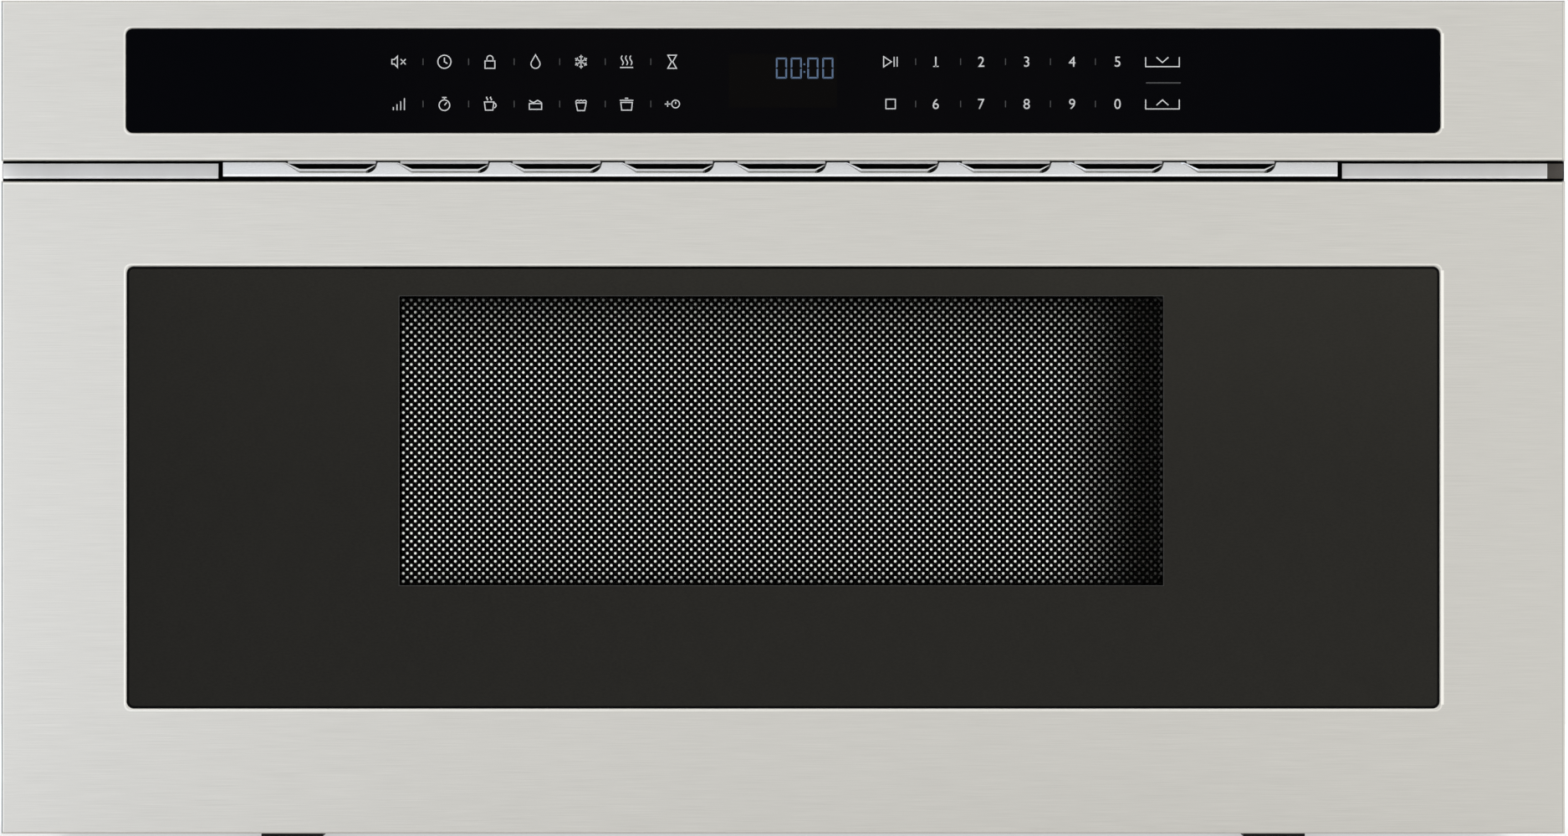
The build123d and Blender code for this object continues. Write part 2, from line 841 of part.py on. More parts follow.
def exhaust_duct():
    """The flat duct from the cavity's ceiling to the front grille."""
    half = grille_width / 2 - lip + sheet
    x0 = grille_off_centre - half
    x1 = grille_off_centre + half
    y1 = y_inside + duct_depth
    z1 = z_fascia + sheet
    shape = block(x0, x1, y_inside, y1, z_roof, z1)
    shape -= block(x0 + sheet, x1 - sheet, y_inside - past, y1 - sheet, z_roof + sheet, z1 - sheet)
    return shape - around(
        0, y_inside + duct_depth / 2, air_hole_pitch * air_hole_columns / 2,
        air_hole_pitch * air_hole_rows / 2, z_roof - past, z_roof + sheet + past,
    )


def stirrer_cover():
    """The mica sheet under the well."""
    half = well_radius + mica_margin
    return around(0, y_middle, half, half, z_ceiling - mica_thickness, z_ceiling)


# ------------------------------------------------------------------ microwave works
def waveguide():
    """The rectangular duct from the magnetron to the stirrer's well."""
    half = waveguide_width / 2
    x0 = -waveguide_past_centre
    x1 = x_bay + waveguide_past_centre
    up = (0, 0, 1)
    through = sheet + 2 * past
    shape = block(x0, x1, y_middle - half, y_middle + half, z_well, z_motor)
    shape -= block(
        x0 + sheet, x1 - sheet, y_middle - half + sheet, y_middle + half - sheet,
        z_well + sheet, z_motor - sheet,
    )
    shape -= rod((0, y_middle, z_well - past), up, coupling_radius, through)
    shape -= rod((0, y_middle, z_motor - sheet - past), up, stirrer_shaft + past, through)
    return shape - rod((x_bay, y_middle, z_well - past), up, antenna_radius + past, through)


def magnetron():
    """Yoke, fins, anode with its antenna, and filter box, hung under the waveguide."""
    half_x = magnetron_width / 2
    half_y = magnetron_depth / 2
    z0 = z_well - magnetron_height
    inner_x = half_x - yoke_sheet
    up = (0, 0, 1)
    shape = around(x_bay, y_middle, half_x, half_y, z0, z_well)
    shape -= around(x_bay, y_middle, inner_x, half_y + past, z0 + yoke_sheet, z_well - yoke_sheet)
    shape += rod((x_bay, y_middle, z0), up, anode_radius, magnetron_height)
    shape += rod((x_bay, y_middle, z_well), up, antenna_radius, antenna_height)
    for i in range(magnetron_fins):
        z = z0 + magnetron_height * (i + 1) / (magnetron_fins + 1)
        shape += around(x_bay, y_middle, inner_x, half_y - yoke_sheet, z, z + fin_sheet)
    return shape + around(x_bay, y_middle, 0.75 * half_x, 0.75 * half_y, z0 - filter_box, z0)


def stirrer_motor():
    """The small motor on top of the waveguide, with its two ears."""
    up = (0, 0, 1)
    at = (0, y_middle, z_motor)
    shape = rod(at, up, stirrer_motor_radius, stirrer_motor_height)
    shape += around(
        0, y_middle, motor_ear_length / 2, motor_ear_width / 2, z_motor, z_motor + flange_sheet
    )
    return shape - rod(at, up, stirrer_shaft + shaft_fit, stirrer_grip)


def stirrer_blade():
    """The stirrer: a shaft, a hub and its tilted paddles."""
    z0 = z_roof + stirrer_above_roof
    up = (0, 0, 1)
    shape = rod((0, y_middle, z0), up, stirrer_shaft, z_motor + stirrer_grip - past - z0)
    shape += rod((0, y_middle, z0), up, stirrer_hub, stirrer_hub / 2)
    paddle = Rot(paddle_tilt, 0, 0) * Box(paddle_length, paddle_width, paddle_sheet)
    paddle = Pos(stirrer_hub / 2 + paddle_length / 2, 0, 0) * paddle
    for i in range(paddles):
        shape += Pos(0, y_middle, z0 + stirrer_hub / 2) * Rot(0, 0, 360 / paddles * i) * paddle
    return shape


def transformer_core():
    """The stacked core with its two windows, on the base pan."""
    y = y_cavity_rear - transformer_depth / 2
    z1 = z_pan + transformer_height
    leg = transformer_width / 5
    half_y = transformer_depth / 2
    core = around(x_bay, y, transformer_width / 2, half_y, z_pan, z1)
    for side in (-1, 1):
        core -= around(x_bay + side * leg, y, leg / 2, half_y + past, z_pan + leg, z1 - leg)
    return core


def transformer_coils():
    """The two windings round the core's middle leg, one over the other."""
    y = y_cavity_rear - transformer_depth / 2
    leg = transformer_width / 5
    half_y = transformer_depth / 2
    tall = (transformer_height - 2 * leg) / 2
    coils = []
    for i in range(2):
        low = z_pan + leg + i * tall + clearance
        high = low + tall - 2 * clearance
        coil = around(x_bay, y, 1.5 * leg - clearance, half_y + coil_overhang, low, high)
        coil -= around(x_bay, y, leg / 2 + clearance, half_y + clearance, low - past, high + past)
        coils.append(coil)
    return coils


def capacitor():
    """The oval high-voltage capacitor and its two tabs, standing in the rear bay."""
    x = x_bay + capacitor_off_bay
    y = (y_cavity_rear + y_panel_inside) / 2
    at = Plane(origin=(x, y, z_pan))
    z1 = z_pan + capacitor_height
    shape = extrude(at * SlotOverall(capacitor_width, capacitor_depth), capacitor_height)
    for side in (-1, 1):
        middle = x + side * capacitor_width / 4
        shape += around(middle, y, tab_width / 2, tab_sheet / 2, z1, z1 + tab_height)
    return shape


def fan_housing():
    """The square frame of the cooling fan, on the rear panel, with the stays to its motor."""
    half = fan_size / 2
    back = (0, 1, 0)
    shape = block(x_fan - half, x_fan + half, y_fan, y_panel_inside, z_fan - half, z_fan + half)
    shape -= rod((x_fan, y_fan - past, z_fan), back, half - fan_wall, fan_depth + 2 * past)
    stay = Pos(half / 2, fan_stay / 2, 0) * Box(half - past, fan_stay, 1.5 * fan_stay)
    for i in range(fan_stays):
        shape += Pos(x_fan, y_fan, z_fan) * Rot(0, 360 / fan_stays * i, 0) * stay
    shape += rod((x_fan, y_fan, z_fan), back, fan_boss, fan_stay)
    return shape - rod(
        (x_fan, y_fan - past, z_fan), back, fan_shaft + clearance, fan_stay + 2 * past
    )


def fan_motor():
    """The fan's motor with its shaft, on the housing's stays."""
    half = fan_motor_size / 2
    y0 = y_fan - fan_motor_length
    shape = block(x_fan - half, x_fan + half, y0, y_fan, z_fan - half, z_fan + half)
    return shape + rod(
        (x_fan, y_fan, z_fan), (0, 1, 0), fan_shaft, fan_stay + fan_gap + fan_grip
    )


def fan_impeller():
    """The fan wheel: a hub with pitched blades, bored for the shaft."""
    y0 = y_fan + fan_stay + fan_gap
    back = (0, 1, 0)
    tip = fan_size / 2 - fan_wall - fan_tip_gap
    root = fan_hub - 2 * blade_sheet
    middle = (root + tip) / 2
    blade = Rot(blade_pitch, 0, 0) * Box(tip - root + past, blade_sheet, 1.5 * fan_wheel)
    blade = Pos(middle, fan_wheel / 2, 0) * blade
    shape = rod((x_fan, y0, z_fan), back, fan_hub, fan_wheel)
    for i in range(fan_blades):
        shape += Pos(x_fan, y0, z_fan) * Rot(0, 360 / fan_blades * i, 0) * blade
    shape &= rod((x_fan, y0, z_fan), back, tip, fan_wheel)
    bore = fan_shaft + shaft_fit
    return shape - rod((x_fan, y0 - past, z_fan), back, bore, fan_grip + 2 * past)


def filter_board():
    """The mains filter board on four posts in the left bay, with its coil, capacitor and fuse."""
    x = -x_bay
    y = y_middle + filter_board_length / 2
    half_x = filter_board_width / 2
    half_y = filter_board_length / 2
    z0 = z_pan + filter_board_height
    z1 = z0 + board_thickness
    up = (0, 0, 1)
    inset = 2 * filter_post_radius
    shape = around(x, y, half_x, half_y, z0, z1)
    for side in (-1, 1):
        for end in (-1, 1):
            at = (x + side * (half_x - inset), y + end * (half_y - inset), z_pan)
            shape += rod(at, up, filter_post_radius, filter_board_height)
    shape += rod((x, y - half_y / 2, z1), up, filter_coil_radius, filter_coil_height)
    shape += around(x, y + filter_part, filter_part, filter_part / 2, z1, z1 + filter_part)
    y_fuse = y + half_y - filter_part
    shape += around(x, y_fuse, filter_part, filter_part / 4, z1, z1 + filter_part / 2)
    return shape


def lamp_holder():
    """The lamp's box on the left wall of the cavity."""
    half_y = lamp_box_width / 2
    half_z = lamp_box_height / 2
    x1 = -x_wall
    x0 = x1 - lamp_box_length
    y0 = y_lamp - half_y
    y1 = y_lamp + half_y
    shape = block(x0, x1, y0, y1, z_lamp - half_z, z_lamp + half_z)
    return shape - block(
        x0 + sheet, x1 + past, y0 + sheet, y1 - sheet,
        z_lamp - half_z + sheet, z_lamp + half_z - sheet,
    )


def lamp_bulb():
    """The lamp, screwed into the far wall of its box."""
    x0 = -x_wall - lamp_box_length + sheet
    shape = rod((x0, y_lamp, z_lamp), (1, 0, 0), bulb_cap_radius, bulb_cap_length)
    return shape + Pos(x0 + bulb_cap_length + 0.8 * bulb_radius, y_lamp, z_lamp) * Sphere(bulb_radius)


def thermal_cutouts():
    """The two small cut-outs on the cavity's ceiling, each with its ears and tabs."""
    made = []
    up = (0, 0, 1)
    y = y_middle + well_radius + 2 * cutout_radius
    for side in (-1, 1):
        x = side * x_cavity / 2
        cap = rod((x, y, z_roof), up, cutout_radius, cutout_height)
        cap += around(x, y, cutout_ear / 2, cutout_radius / 2, z_roof, z_roof + sheet)
        z1 = z_roof + cutout_height
        for end in (-1, 1):
            middle = x + end * cutout_radius / 2
            cap += around(middle, y, tab_width / 4, tab_sheet / 2, z1, z1 + tab_height)
        made.append(cap)
    return made


# ------------------------------------------------------------------ latches
def latch_hooks():
    """The two hooked tongues on the liner that work the door switches."""
    made = []
    y0 = y_liner_back
    y1 = y0 + hook_length
    low = z_hook - hook_height / 2
    high = z_hook + hook_height / 2
    nose = hook_height / 3
    outline = [(y0, low), (y1 - nose, low), (y1, low + nose), (y1, high + hook_catch)]
    outline += [(y1 - 2 * nose, high + hook_catch), (y1 - 2 * nose, high), (y0, high)]
    for side in (-1, 1):
        x = side * x_hook
        shape = along_x(outline, x - hook_sheet / 2, x + hook_sheet / 2)
        half = hook_foot / 2
        y2 = y0 + liner_thickness
        made.append(shape + block(x - half, x + half, y0, y2, z_hook - half, z_hook + half))
    return made


def interlock_switches():
    """The switch brackets behind the front plate, each with two microswitches."""
    made = []
    gap = hook_sheet / 2 + flange_sheet
    half = switch_bracket_height / 2
    for side in (-1, 1):
        x = side * x_hook
        web = span(x + side * gap, x + side * (gap + flange_sheet))
        foot = span(x + side * gap, x + side * (gap + lip))
        y1 = y_inside + switch_bracket_depth
        shape = block(*web, y_inside, y1, z_hook - half, z_hook + half)
        shape += block(*foot, y_inside, y_inside + flange_sheet, z_hook - half, z_hook + half)
        made.append(shape)
        body = span(x + side * gap, x + side * (gap - switch_width))
        y2 = y1 - switch_length
        for z in (z_hook - half + switch_height / 2, z_hook + half - 1.5 * switch_height):
            made.append(block(*body, y2, y1, z, z + switch_height))
    return made


# ------------------------------------------------------------------ control panel
def control_fascia():
    """The brushed steel face above the drawer, with the cut-out for the control glass."""
    half = panel_width / 2 + clearance
    return bevelled_cut(
        tray(z_fascia, z_top), half, z_panel - clearance, z_panel_top + clearance, panel_corner
    )


def control_glass():
    """The black glass that the touch controls lie behind."""
    return upright_plate(
        panel_width / 2, z_panel, z_panel_top, y_panel_glass, y_panel_back, panel_corner
    )


def control_housing():
    """The moulded box between the fascia and the top flange."""
    z0 = z_fascia + skin + clearance
    z1 = z_top - skin - clearance
    wall = housing_wall
    shape = block(-x_core, x_core, y_front + skin, y_face, z0, z1)
    shape -= block(
        -x_core + wall, x_core - wall, y_panel_back + wall, y_face - wall, z0 + wall, z1 - wall
    )
    half = panel_width / 2 + clearance
    shape -= upright_plate(
        half, z_panel - clearance, z_panel_top + clearance, y_front, y_panel_back, panel_corner
    )
    half = display_width / 2 + clearance
    z2 = z_display - clearance
    return shape - block(-half, half, y_front, y_board, z2, z2 + display_height + 2 * clearance)


def control_board():
    """The board with the touch keys' electronics and its posts to the housing's back."""
    half = board_width / 2
    y1 = y_board + board_thickness
    inset = 2 * board_post_radius
    z_middle = (z_panel + z_panel_top) / 2
    shape = block(-half, half, y_board, y1, z_panel + inset, z_panel_top - inset)
    for x in (inset - half, 0, half - inset):
        long = y_face - housing_wall - y1
        shape += rod((x, y1, z_middle), (0, 1, 0), board_post_radius, long)
    return shape


def display_module():
    """The clock display between the board and the glass."""
    half = display_width / 2
    y0 = y_panel_back + clearance
    return block(-half, half, y0, y_board, z_display, z_display + display_height)


# ------------------------------------------------------------------ air slot
def vent_grille():
    """The steel strip with its row of louvres, and the shelf that carries it."""
    y0 = y_front + grille_set_back
    x0 = grille_off_centre - grille_width / 2
    x1 = grille_off_centre + grille_width / 2
    z0 = z_slot + grille_above_slot
    z1 = z0 + grille_height
    shape = block(x0, x1, y0, y0 + skin, z0, z1) + block(x0, x1, y0, y_face, z0, z0 + skin)
    mouth = z1 - louvre_below_edge - louvre_mouth
    y_lip = y0 - louvre_reach
    hood = [(y0, mouth), (y_lip, mouth - louvre_below_edge)]
    hood += [(y_lip, mouth - louvre_below_edge - louvre_lip), (y0, mouth - louvre_mouth)]
    for i in range(louvre_count):
        x = grille_off_centre + (i - (louvre_count - 1) / 2) * louvre_pitch
        half = louvre_width / 2
        shape -= block(x - half, x + half, y0 - past, y0 + skin + past, mouth, mouth + louvre_mouth)
        shape += along_x(hood, x - half, x + half)
    return shape


def slot_trim(x0, x1):
    """A plain steel strip beside the grille: a face and the shelf that carries it."""
    y0 = y_front + trim_set_back
    z0 = z_slot + trim_above_slot
    face = block(x0, x1, y0, y0 + skin, z0, z0 + trim_height)
    return face + block(x0, x1, y0, y_face, z0, z0 + skin)


def slot_trims():
    """The strips at both sides of the grille."""
    reach = grille_width / 2 + trim_gap
    end = x_front - end_margin
    left = slot_trim(-end, grille_off_centre - reach)
    right = slot_trim(grille_off_centre + reach, end - end_block_width)
    return [left, right]


def slot_end_block():
    """The dark moulded stop at the right end of the slot."""
    x1 = x_front - end_margin
    y0 = y_front + trim_set_back
    z0 = z_slot + trim_above_slot
    return block(x1 - end_block_width, x1, y0, y_face, z0, z0 + trim_height)


# ------------------------------------------------------------------ the whole appliance
for make in (
    drawer_skin, window_glass, mesh_plate, door_core, inner_pane, door_liner, choke_cover,
    bin_walls, bin_floor, drive_rack, drive_pinion, rack_guide, drive_motor,
    base_pan, top_cover, rear_panel, front_plate, top_flange, cord_gland,
    cavity_wrapper, cavity_floor, cavity_rear, exhaust_duct, stirrer_cover,
    waveguide, magnetron, stirrer_motor, stirrer_blade, transformer_core, capacitor,
    fan_housing, fan_motor, fan_impeller, filter_board, lamp_holder, lamp_bulb,
    control_fascia, control_glass, control_housing, control_board, display_module,
    vent_grille, slot_end_block,
):
    save(make.__name__, make())

for make in (
    slide_outers, slide_middles, slide_inners, rail_beams, drawer_arms, base_runners, side_flanges,
    case_screws, transformer_coils, thermal_cutouts, latch_hooks, interlock_switches, slot_trims,
):
    save(make.__name__, *make())

save("outer_cages", *ball_rows(outer_cage_centre, outer_race))
save("inner_cages", *ball_rows(inner_cage_centre, middle_race))
save("side_panel_left", side_panel(-1))
save("side_panel_right", side_panel(1))
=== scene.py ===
"""Dresses a built-in microwave drawer: the solid model is the frame, and every finish and fine piece
is laid over it. Lengths are in metres, X to the right as the cook sees it, -Y to the front, Z up.
"""

import json
import math

import bmesh
import bpy
from bpy.props import FloatProperty, FloatVectorProperty, IntProperty, PointerProperty
from mathutils import Matrix, Vector


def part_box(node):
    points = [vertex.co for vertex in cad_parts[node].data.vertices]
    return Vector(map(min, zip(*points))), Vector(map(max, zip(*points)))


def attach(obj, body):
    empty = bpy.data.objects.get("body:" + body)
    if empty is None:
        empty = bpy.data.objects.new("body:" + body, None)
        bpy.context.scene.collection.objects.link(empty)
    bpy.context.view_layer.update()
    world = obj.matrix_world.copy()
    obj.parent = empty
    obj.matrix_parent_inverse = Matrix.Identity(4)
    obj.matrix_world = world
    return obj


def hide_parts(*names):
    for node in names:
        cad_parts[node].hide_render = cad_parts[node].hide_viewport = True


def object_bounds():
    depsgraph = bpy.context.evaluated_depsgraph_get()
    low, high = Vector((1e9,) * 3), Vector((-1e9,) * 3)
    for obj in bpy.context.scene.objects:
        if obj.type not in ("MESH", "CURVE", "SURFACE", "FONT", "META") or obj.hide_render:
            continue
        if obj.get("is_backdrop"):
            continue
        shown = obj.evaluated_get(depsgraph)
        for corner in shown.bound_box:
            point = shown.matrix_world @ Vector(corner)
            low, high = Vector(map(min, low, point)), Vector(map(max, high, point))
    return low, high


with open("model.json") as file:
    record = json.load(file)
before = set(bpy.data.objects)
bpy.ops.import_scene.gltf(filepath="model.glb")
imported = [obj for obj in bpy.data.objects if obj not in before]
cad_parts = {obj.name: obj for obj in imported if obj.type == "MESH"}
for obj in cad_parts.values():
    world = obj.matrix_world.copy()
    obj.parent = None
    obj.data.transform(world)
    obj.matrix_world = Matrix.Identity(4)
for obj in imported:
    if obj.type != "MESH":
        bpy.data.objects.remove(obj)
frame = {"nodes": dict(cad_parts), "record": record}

bl_info = {
    "name": "Microwave drawer",
    "version": (1, 0, 0),
    "blender": (4, 5, 0),
    "location": "3D View > Sidebar > Drawer",
    "description": "Finishes and fine pieces of a built-in microwave drawer",
    "category": "Object",
}

MM = 0.001

# the steel fronts: bands of painted highlight and shade along drawn edges, and painted highlights on
# the chamfers of the two cut-outs
SLOT_BAND = 1.5 * MM
TOP_BAND = 1.2 * MM
LEFT_BAND = 1.1 * MM
RIGHT_BAND = 1.3 * MM
WINDOW_CHAMFER = 1.75 * MM  # from the glass to the flat steel
CONTROL_CHAMFER = 0.6 * MM
CHAMFER_CORNER = 2.6 * MM
CHAMFER_BAND = 0.8 * MM
CHAMFER_STRAIGHT = 2.5 * MM  # from a cut-out's corner to where its sides of painted highlight start
CHAMFER_LEFT = 0.6 * MM  # widths of the sides of painted highlight
CHAMFER_RIGHT = 1.5 * MM

# the window
WINDOW_CORNER = 2.3 * MM
CLEAR_CORNER = 0.4 * MM
FRIT_STEP = 0.05 * MM  # the pale line lies this far behind the glass's face
LIGHT_GAP = 0.1 * MM  # from the screen to the glowing film, and the film's thickness
GLOW_TOP = 13.0 * MM  # how far in from an edge the cavity's painted glow has risen by two thirds
GLOW_BOTTOM = 3.5 * MM
GLOW_LEFT = 1.2 * MM

# the print on the control glass, across from the middle of the front
FIRST_SIGN = -187.3 * MM
FIRST_SIGN_LINE = -175.5 * MM
FIRST_FIGURE = 74.4 * MM
FIRST_FIGURE_LINE = 64.6 * MM
FIGURE_LINE_PITCH = 21.9 * MM
START_KEY = 52.4 * MM
OPEN_KEY = 184.9 * MM
OPEN_KEY_RULE = (176.9 * MM, 193.8 * MM)
KEYS_DOWN = 1.0 * MM  # from the middle of the glass down to the middle of the keys
CAPITAL_SHARE = 0.7  # of a font's size that a figure is high
ONE_FOOT = (-1.2 * MM, 1.4 * MM)  # the bar under the figure 1
LINE_REACH = 1.6 * MM  # of the line between two keys, up and down
LINE_STROKE = 0.42 * MM
RULE_STROKE = 0.6 * MM

# the clock's figures and the dots between them, across, and its foot above the floor
CLOCK_FIGURES = (-3.5 * MM, 3.7 * MM, 11.8 * MM, 19.1 * MM)
CLOCK_COLON = 10.35 * MM
CLOCK_FOOT = 370.1 * MM
CLOCK_GAP = 0.15 * MM  # half the gap between two bars
COLON_LEVELS = (0.32, 0.68)  # of the clock's height

# the air slot
FOOT_BAND = 1.2 * MM  # painted highlight along the foot of the strips
LOUVRE_STEP = 0.1 * MM  # from a louvre's right end to the flat strip
HOOD_MARGIN = 0.8 * MM  # from a hood's end to the louvre's, and the hood's thickness
HOOD_STEP = 0.1 * MM  # behind the strip's face
HOOD_TUCK = 0.6 * MM  # above the strip, under the fascia
SHADE_SHEET_THICKNESS = 0.6 * MM
END_REACH = 1.2 * MM  # of the right end's black film of painted shade, above and below the stop
END_SHEET = 0.3 * MM
DRAWER_PLAY = 0.1 * MM

# the photograph's camera, square on and far off, and the point that the lamps look at
CAMERA_PLACE = (0.00043, -17.2725, 0.2046)
CAMERA_LENS = 800.0  # in millimetres, like its sensor's width
CAMERA_SENSOR = 36.0
LAMP_AIM = Vector((0.0, 0.0, 0.2))
LAMPS = (  # name, place, width, watts and colour
    ("left_lamp", (-0.95, -2.6, 0.06), 0.3, 4.7, (0.74, 0.82, 1.0)),
    ("right_lamp", (2.6, -2.6, 1.5), 3.6, 27.0, (1.0, 0.99, 0.96)),
    ("rear_lamp", (0.8, 2.8, 2.2), 3.6, 36.0, (1.0, 1.0, 1.0)),
    ("top_lamp", (0.0, -0.4, 2.8), 5.0, 44.0, (1.0, 1.0, 1.0)),
)


# ------------------------------------------------------------------ sizes and colours to change
def length(name, description, default):
    """A length property in metres."""
    return FloatProperty(
        name=name, description=description, default=default, min=0.0, unit="LENGTH",
        subtype="DISTANCE", precision=5,
    )


def colour(name, description, default):
    """A linear colour property."""
    return FloatVectorProperty(
        name=name, description=description, default=default, min=0.0, max=1.0, size=3,
        subtype="COLOR",
    )


class DrawerSizes(bpy.types.PropertyGroup):
    """Sizes of the fine pieces."""

    hole_pitch: length("Hole pitch", "Between two holes in one row of the screen", 0.0039)
    hole_row: length("Hole rows", "Between two rows of the screen's holes", 0.00196)
    hole_diameter: length("Hole", "Diameter of one hole in the screen", 0.00133)
    frit_line: length("Frit line", "Pale line round the clear part of the window", 0.0003)
    pane_margin: length("Pane margin", "From the inner pane's edge to the screen's holes", 0.009)
    glass_ground: length("Ground edge", "Chamfer round the window's glass", 0.0002)
    pane_gap: length("Pane gap", "Between the window's border and its clear part", 0.00002)
    louvre_count: IntProperty(name="Louvres", description="Louvres in the strip", default=9, min=1)
    louvre_shift: length("Louvre shift", "Of all the louvres to the left in their strip", 0.0003)
    louvre_pitch: length("Louvre pitch", "Between two louvres", 0.0548)
    louvre_width: length("Louvre width", "Width of one louvre", 0.0460)
    louvre_reach: length("Louvre reach", "How far a louvre stands before the strip", 0.0025)
    louvre_mouth: length("Louvre mouth", "From the strip's top edge down to the lip", 0.00315)
    louvre_tongue: length("Louvre tongue", "From the lip down to the crease", 0.0021)
    louvre_corner: length("Louvre corner", "Flat piece at a louvre's left end", 0.0012)
    louvre_ramp: length("Louvre ramp", "Sloping left end of a louvre", 0.0081)
    louvre_return: length("Louvre return", "Rounded right end of a louvre", 0.0056)
    hood_height: length("Hood height", "Of the bar behind the top of each louvre", 0.0006)
    strip_lift: length("Strip lift", "From the bottom of the strip's place up to its edge", 0.0002)
    strip_sheet: length("Strip sheet", "Thickness of the louvred strip", 0.0008)
    key_pitch: length("Key pitch", "Between two function keys", 0.0222)
    figure_pitch: length("Figure pitch", "Between two number keys", 0.02215)
    key_rows: length("Key rows", "Between the two rows of keys", 0.0206)
    figure_height: length("Figure height", "Height of a number on its key", 0.00505)
    mark_stroke: length("Mark stroke", "Width of a line in a key's sign", 0.0005)
    mark_rise: length("Mark rise", "How far the print stands before the glass", 0.00005)
    clock_height: length("Clock height", "Height of a figure of the clock", 0.0102)
    clock_width: length("Clock width", "Width of a figure of the clock", 0.0054)
    clock_stroke: length("Clock stroke", "Width of a bar of the clock", 0.0008)
    recess: length("Screw recess", "Reach of the cross in a screw's head", 0.0024)
    brush_line: length("Brush line", "Width of the finest brushing line in the steel", 0.00024)
    spangle: length("Spangle", "Size of a zinc crystal on the chassis", 0.009)


class DrawerColours(bpy.types.PropertyGroup):
    """Colours of the finishes."""

    steel: colour("Steel", "Brushed fronts", (0.575, 0.562, 0.523))
    strip: colour("Strip", "Louvred strip", (0.645, 0.653, 0.662))
    satin: colour("Satin", "Plain strips in the air slot", (0.785, 0.78, 0.775))
    zinc: colour("Zinc", "Sheets of the chassis", (0.50, 0.515, 0.53))
    control: colour("Control glass", "Glass over the keys", (0.0014, 0.0017, 0.0033))
    border: colour("Window border", "Opaque border of the window", (0.0108, 0.0101, 0.0079))
    print: colour("Print", "Numbers and signs on the control glass", (0.91, 0.93, 0.96))
    clock: colour("Clock", "Lit bars of the clock", (0.066, 0.123, 0.226))
    enamel: colour("Enamel", "Walls of the food bin and of the cavity", (0.52, 0.52, 0.50))
    moulding: colour("Moulding", "Dark moulded pieces", (0.005, 0.005, 0.0055))


# ------------------------------------------------------------------ node helpers
def put(tree, socket, value):
    """Links a socket to another one, or sets its number, vector or colour."""
    if isinstance(value, bpy.types.NodeSocket):
        tree.links.new(value, socket)
    elif socket.type == "RGBA":
        socket.default_value = (*value, 1.0)
    else:
        socket.default_value = value


def feed(tree, node, **values):
    """Puts values into a node's sockets; an underscore stands for a space in a socket's name."""
    for key, value in values.items():
        put(tree, node.inputs[key.replace("_", " ")], value)


def add(tree, kind, **settings):
    """A new node with its settings; a key with a leading capital is the name of a socket."""
    made = tree.nodes.new(kind)
    for key, value in settings.items():
        if key[0].isupper():
            feed(tree, made, **{key: value})
        else:
            setattr(made, key, value)
    return made


def calculate(tree, operation, *values, clamp=False):
    """The result of one Math node."""
    made = add(tree, "ShaderNodeMath", operation=operation, use_clamp=clamp)
    for socket, value in zip(made.inputs, values):
        put(tree, socket, value)
    return made.outputs[0]


def vector_maths(tree, operation, *values, output="Vector"):
    """The result of one Vector Math node."""
    made = add(tree, "ShaderNodeVectorMath", operation=operation)
    for socket, value in zip(made.inputs, values):
        put(tree, socket, value)
    return made.outputs[output]


def spread(tree, value, low, high, start=0.0, end=1.0):
    """A value carried from start..end to low..high."""
    made = add(
        tree, "ShaderNodeMapRange", Value=value, From_Min=start, From_Max=end, To_Min=low,
        To_Max=high,
    )
    return made.outputs["Result"]


def mix(tree, factor, first, second):
    """Two colours mixed by a factor."""
    made = add(tree, "ShaderNodeMix", data_type="RGBA")
    for number, value in ((0, factor), (6, first), (7, second)):
        put(tree, made.inputs[number], value)
    return made.outputs[2]


def shade(base, factor):
    """A colour made lighter or darker."""
    return tuple(min(part * factor, 1.0) for part in base)


def varied(tree, mask, base, less, more):
    """A colour between two factors of its base, by a mask."""
    return mix(tree, mask, shade(base, less), shade(base, more))


def object_place(tree):
    """The point on the object, in metres."""
    return add(tree, "ShaderNodeTexCoord").outputs["Object"]


def object_axes(tree):
    """The X, Y and Z of the point on the object."""
    return add(tree, "ShaderNodeSeparateXYZ", Vector=object_place(tree)).outputs


def face_directions(tree):
    """Which way a face looks: its parts along X and Z, and how squarely it looks to the front."""
    flat = add(tree, "ShaderNodeNewGeometry").outputs["True Normal"]
    parts = add(tree, "ShaderNodeSeparateXYZ", Vector=flat).outputs
    return parts["X"], parts["Z"], calculate(tree, "ABSOLUTE", parts["Y"])


def both(tree, first, second):
    """Two masks or levels multiplied."""
    return calculate(tree, "MULTIPLY", first, second)


def over(tree, value, limit):
    """A mask for a value over a limit."""
    return calculate(tree, "GREATER_THAN", value, limit)


def under(tree, value, limit):
    """A mask for a value under a limit."""
    return calculate(tree, "LESS_THAN", value, limit)


def between(tree, value, low, high):
    """A mask for a value between two limits."""
    return both(tree, over(tree, value, low), under(tree, value, high))


def in_box(tree, axes, x0, x1, z0, z1):
    """A mask for the points before a rectangle on the front."""
    return both(tree, between(tree, axes["X"], x0, x1), between(tree, axes["Z"], z0, z1))


def raise_surface(tree, shader, height, strength, depth):
    """Feeds a height into the shader's normal."""
    bump = add(tree, "ShaderNodeBump", Strength=strength, Distance=depth, Height=height)
    feed(tree, shader, Normal=bump.outputs["Normal"])


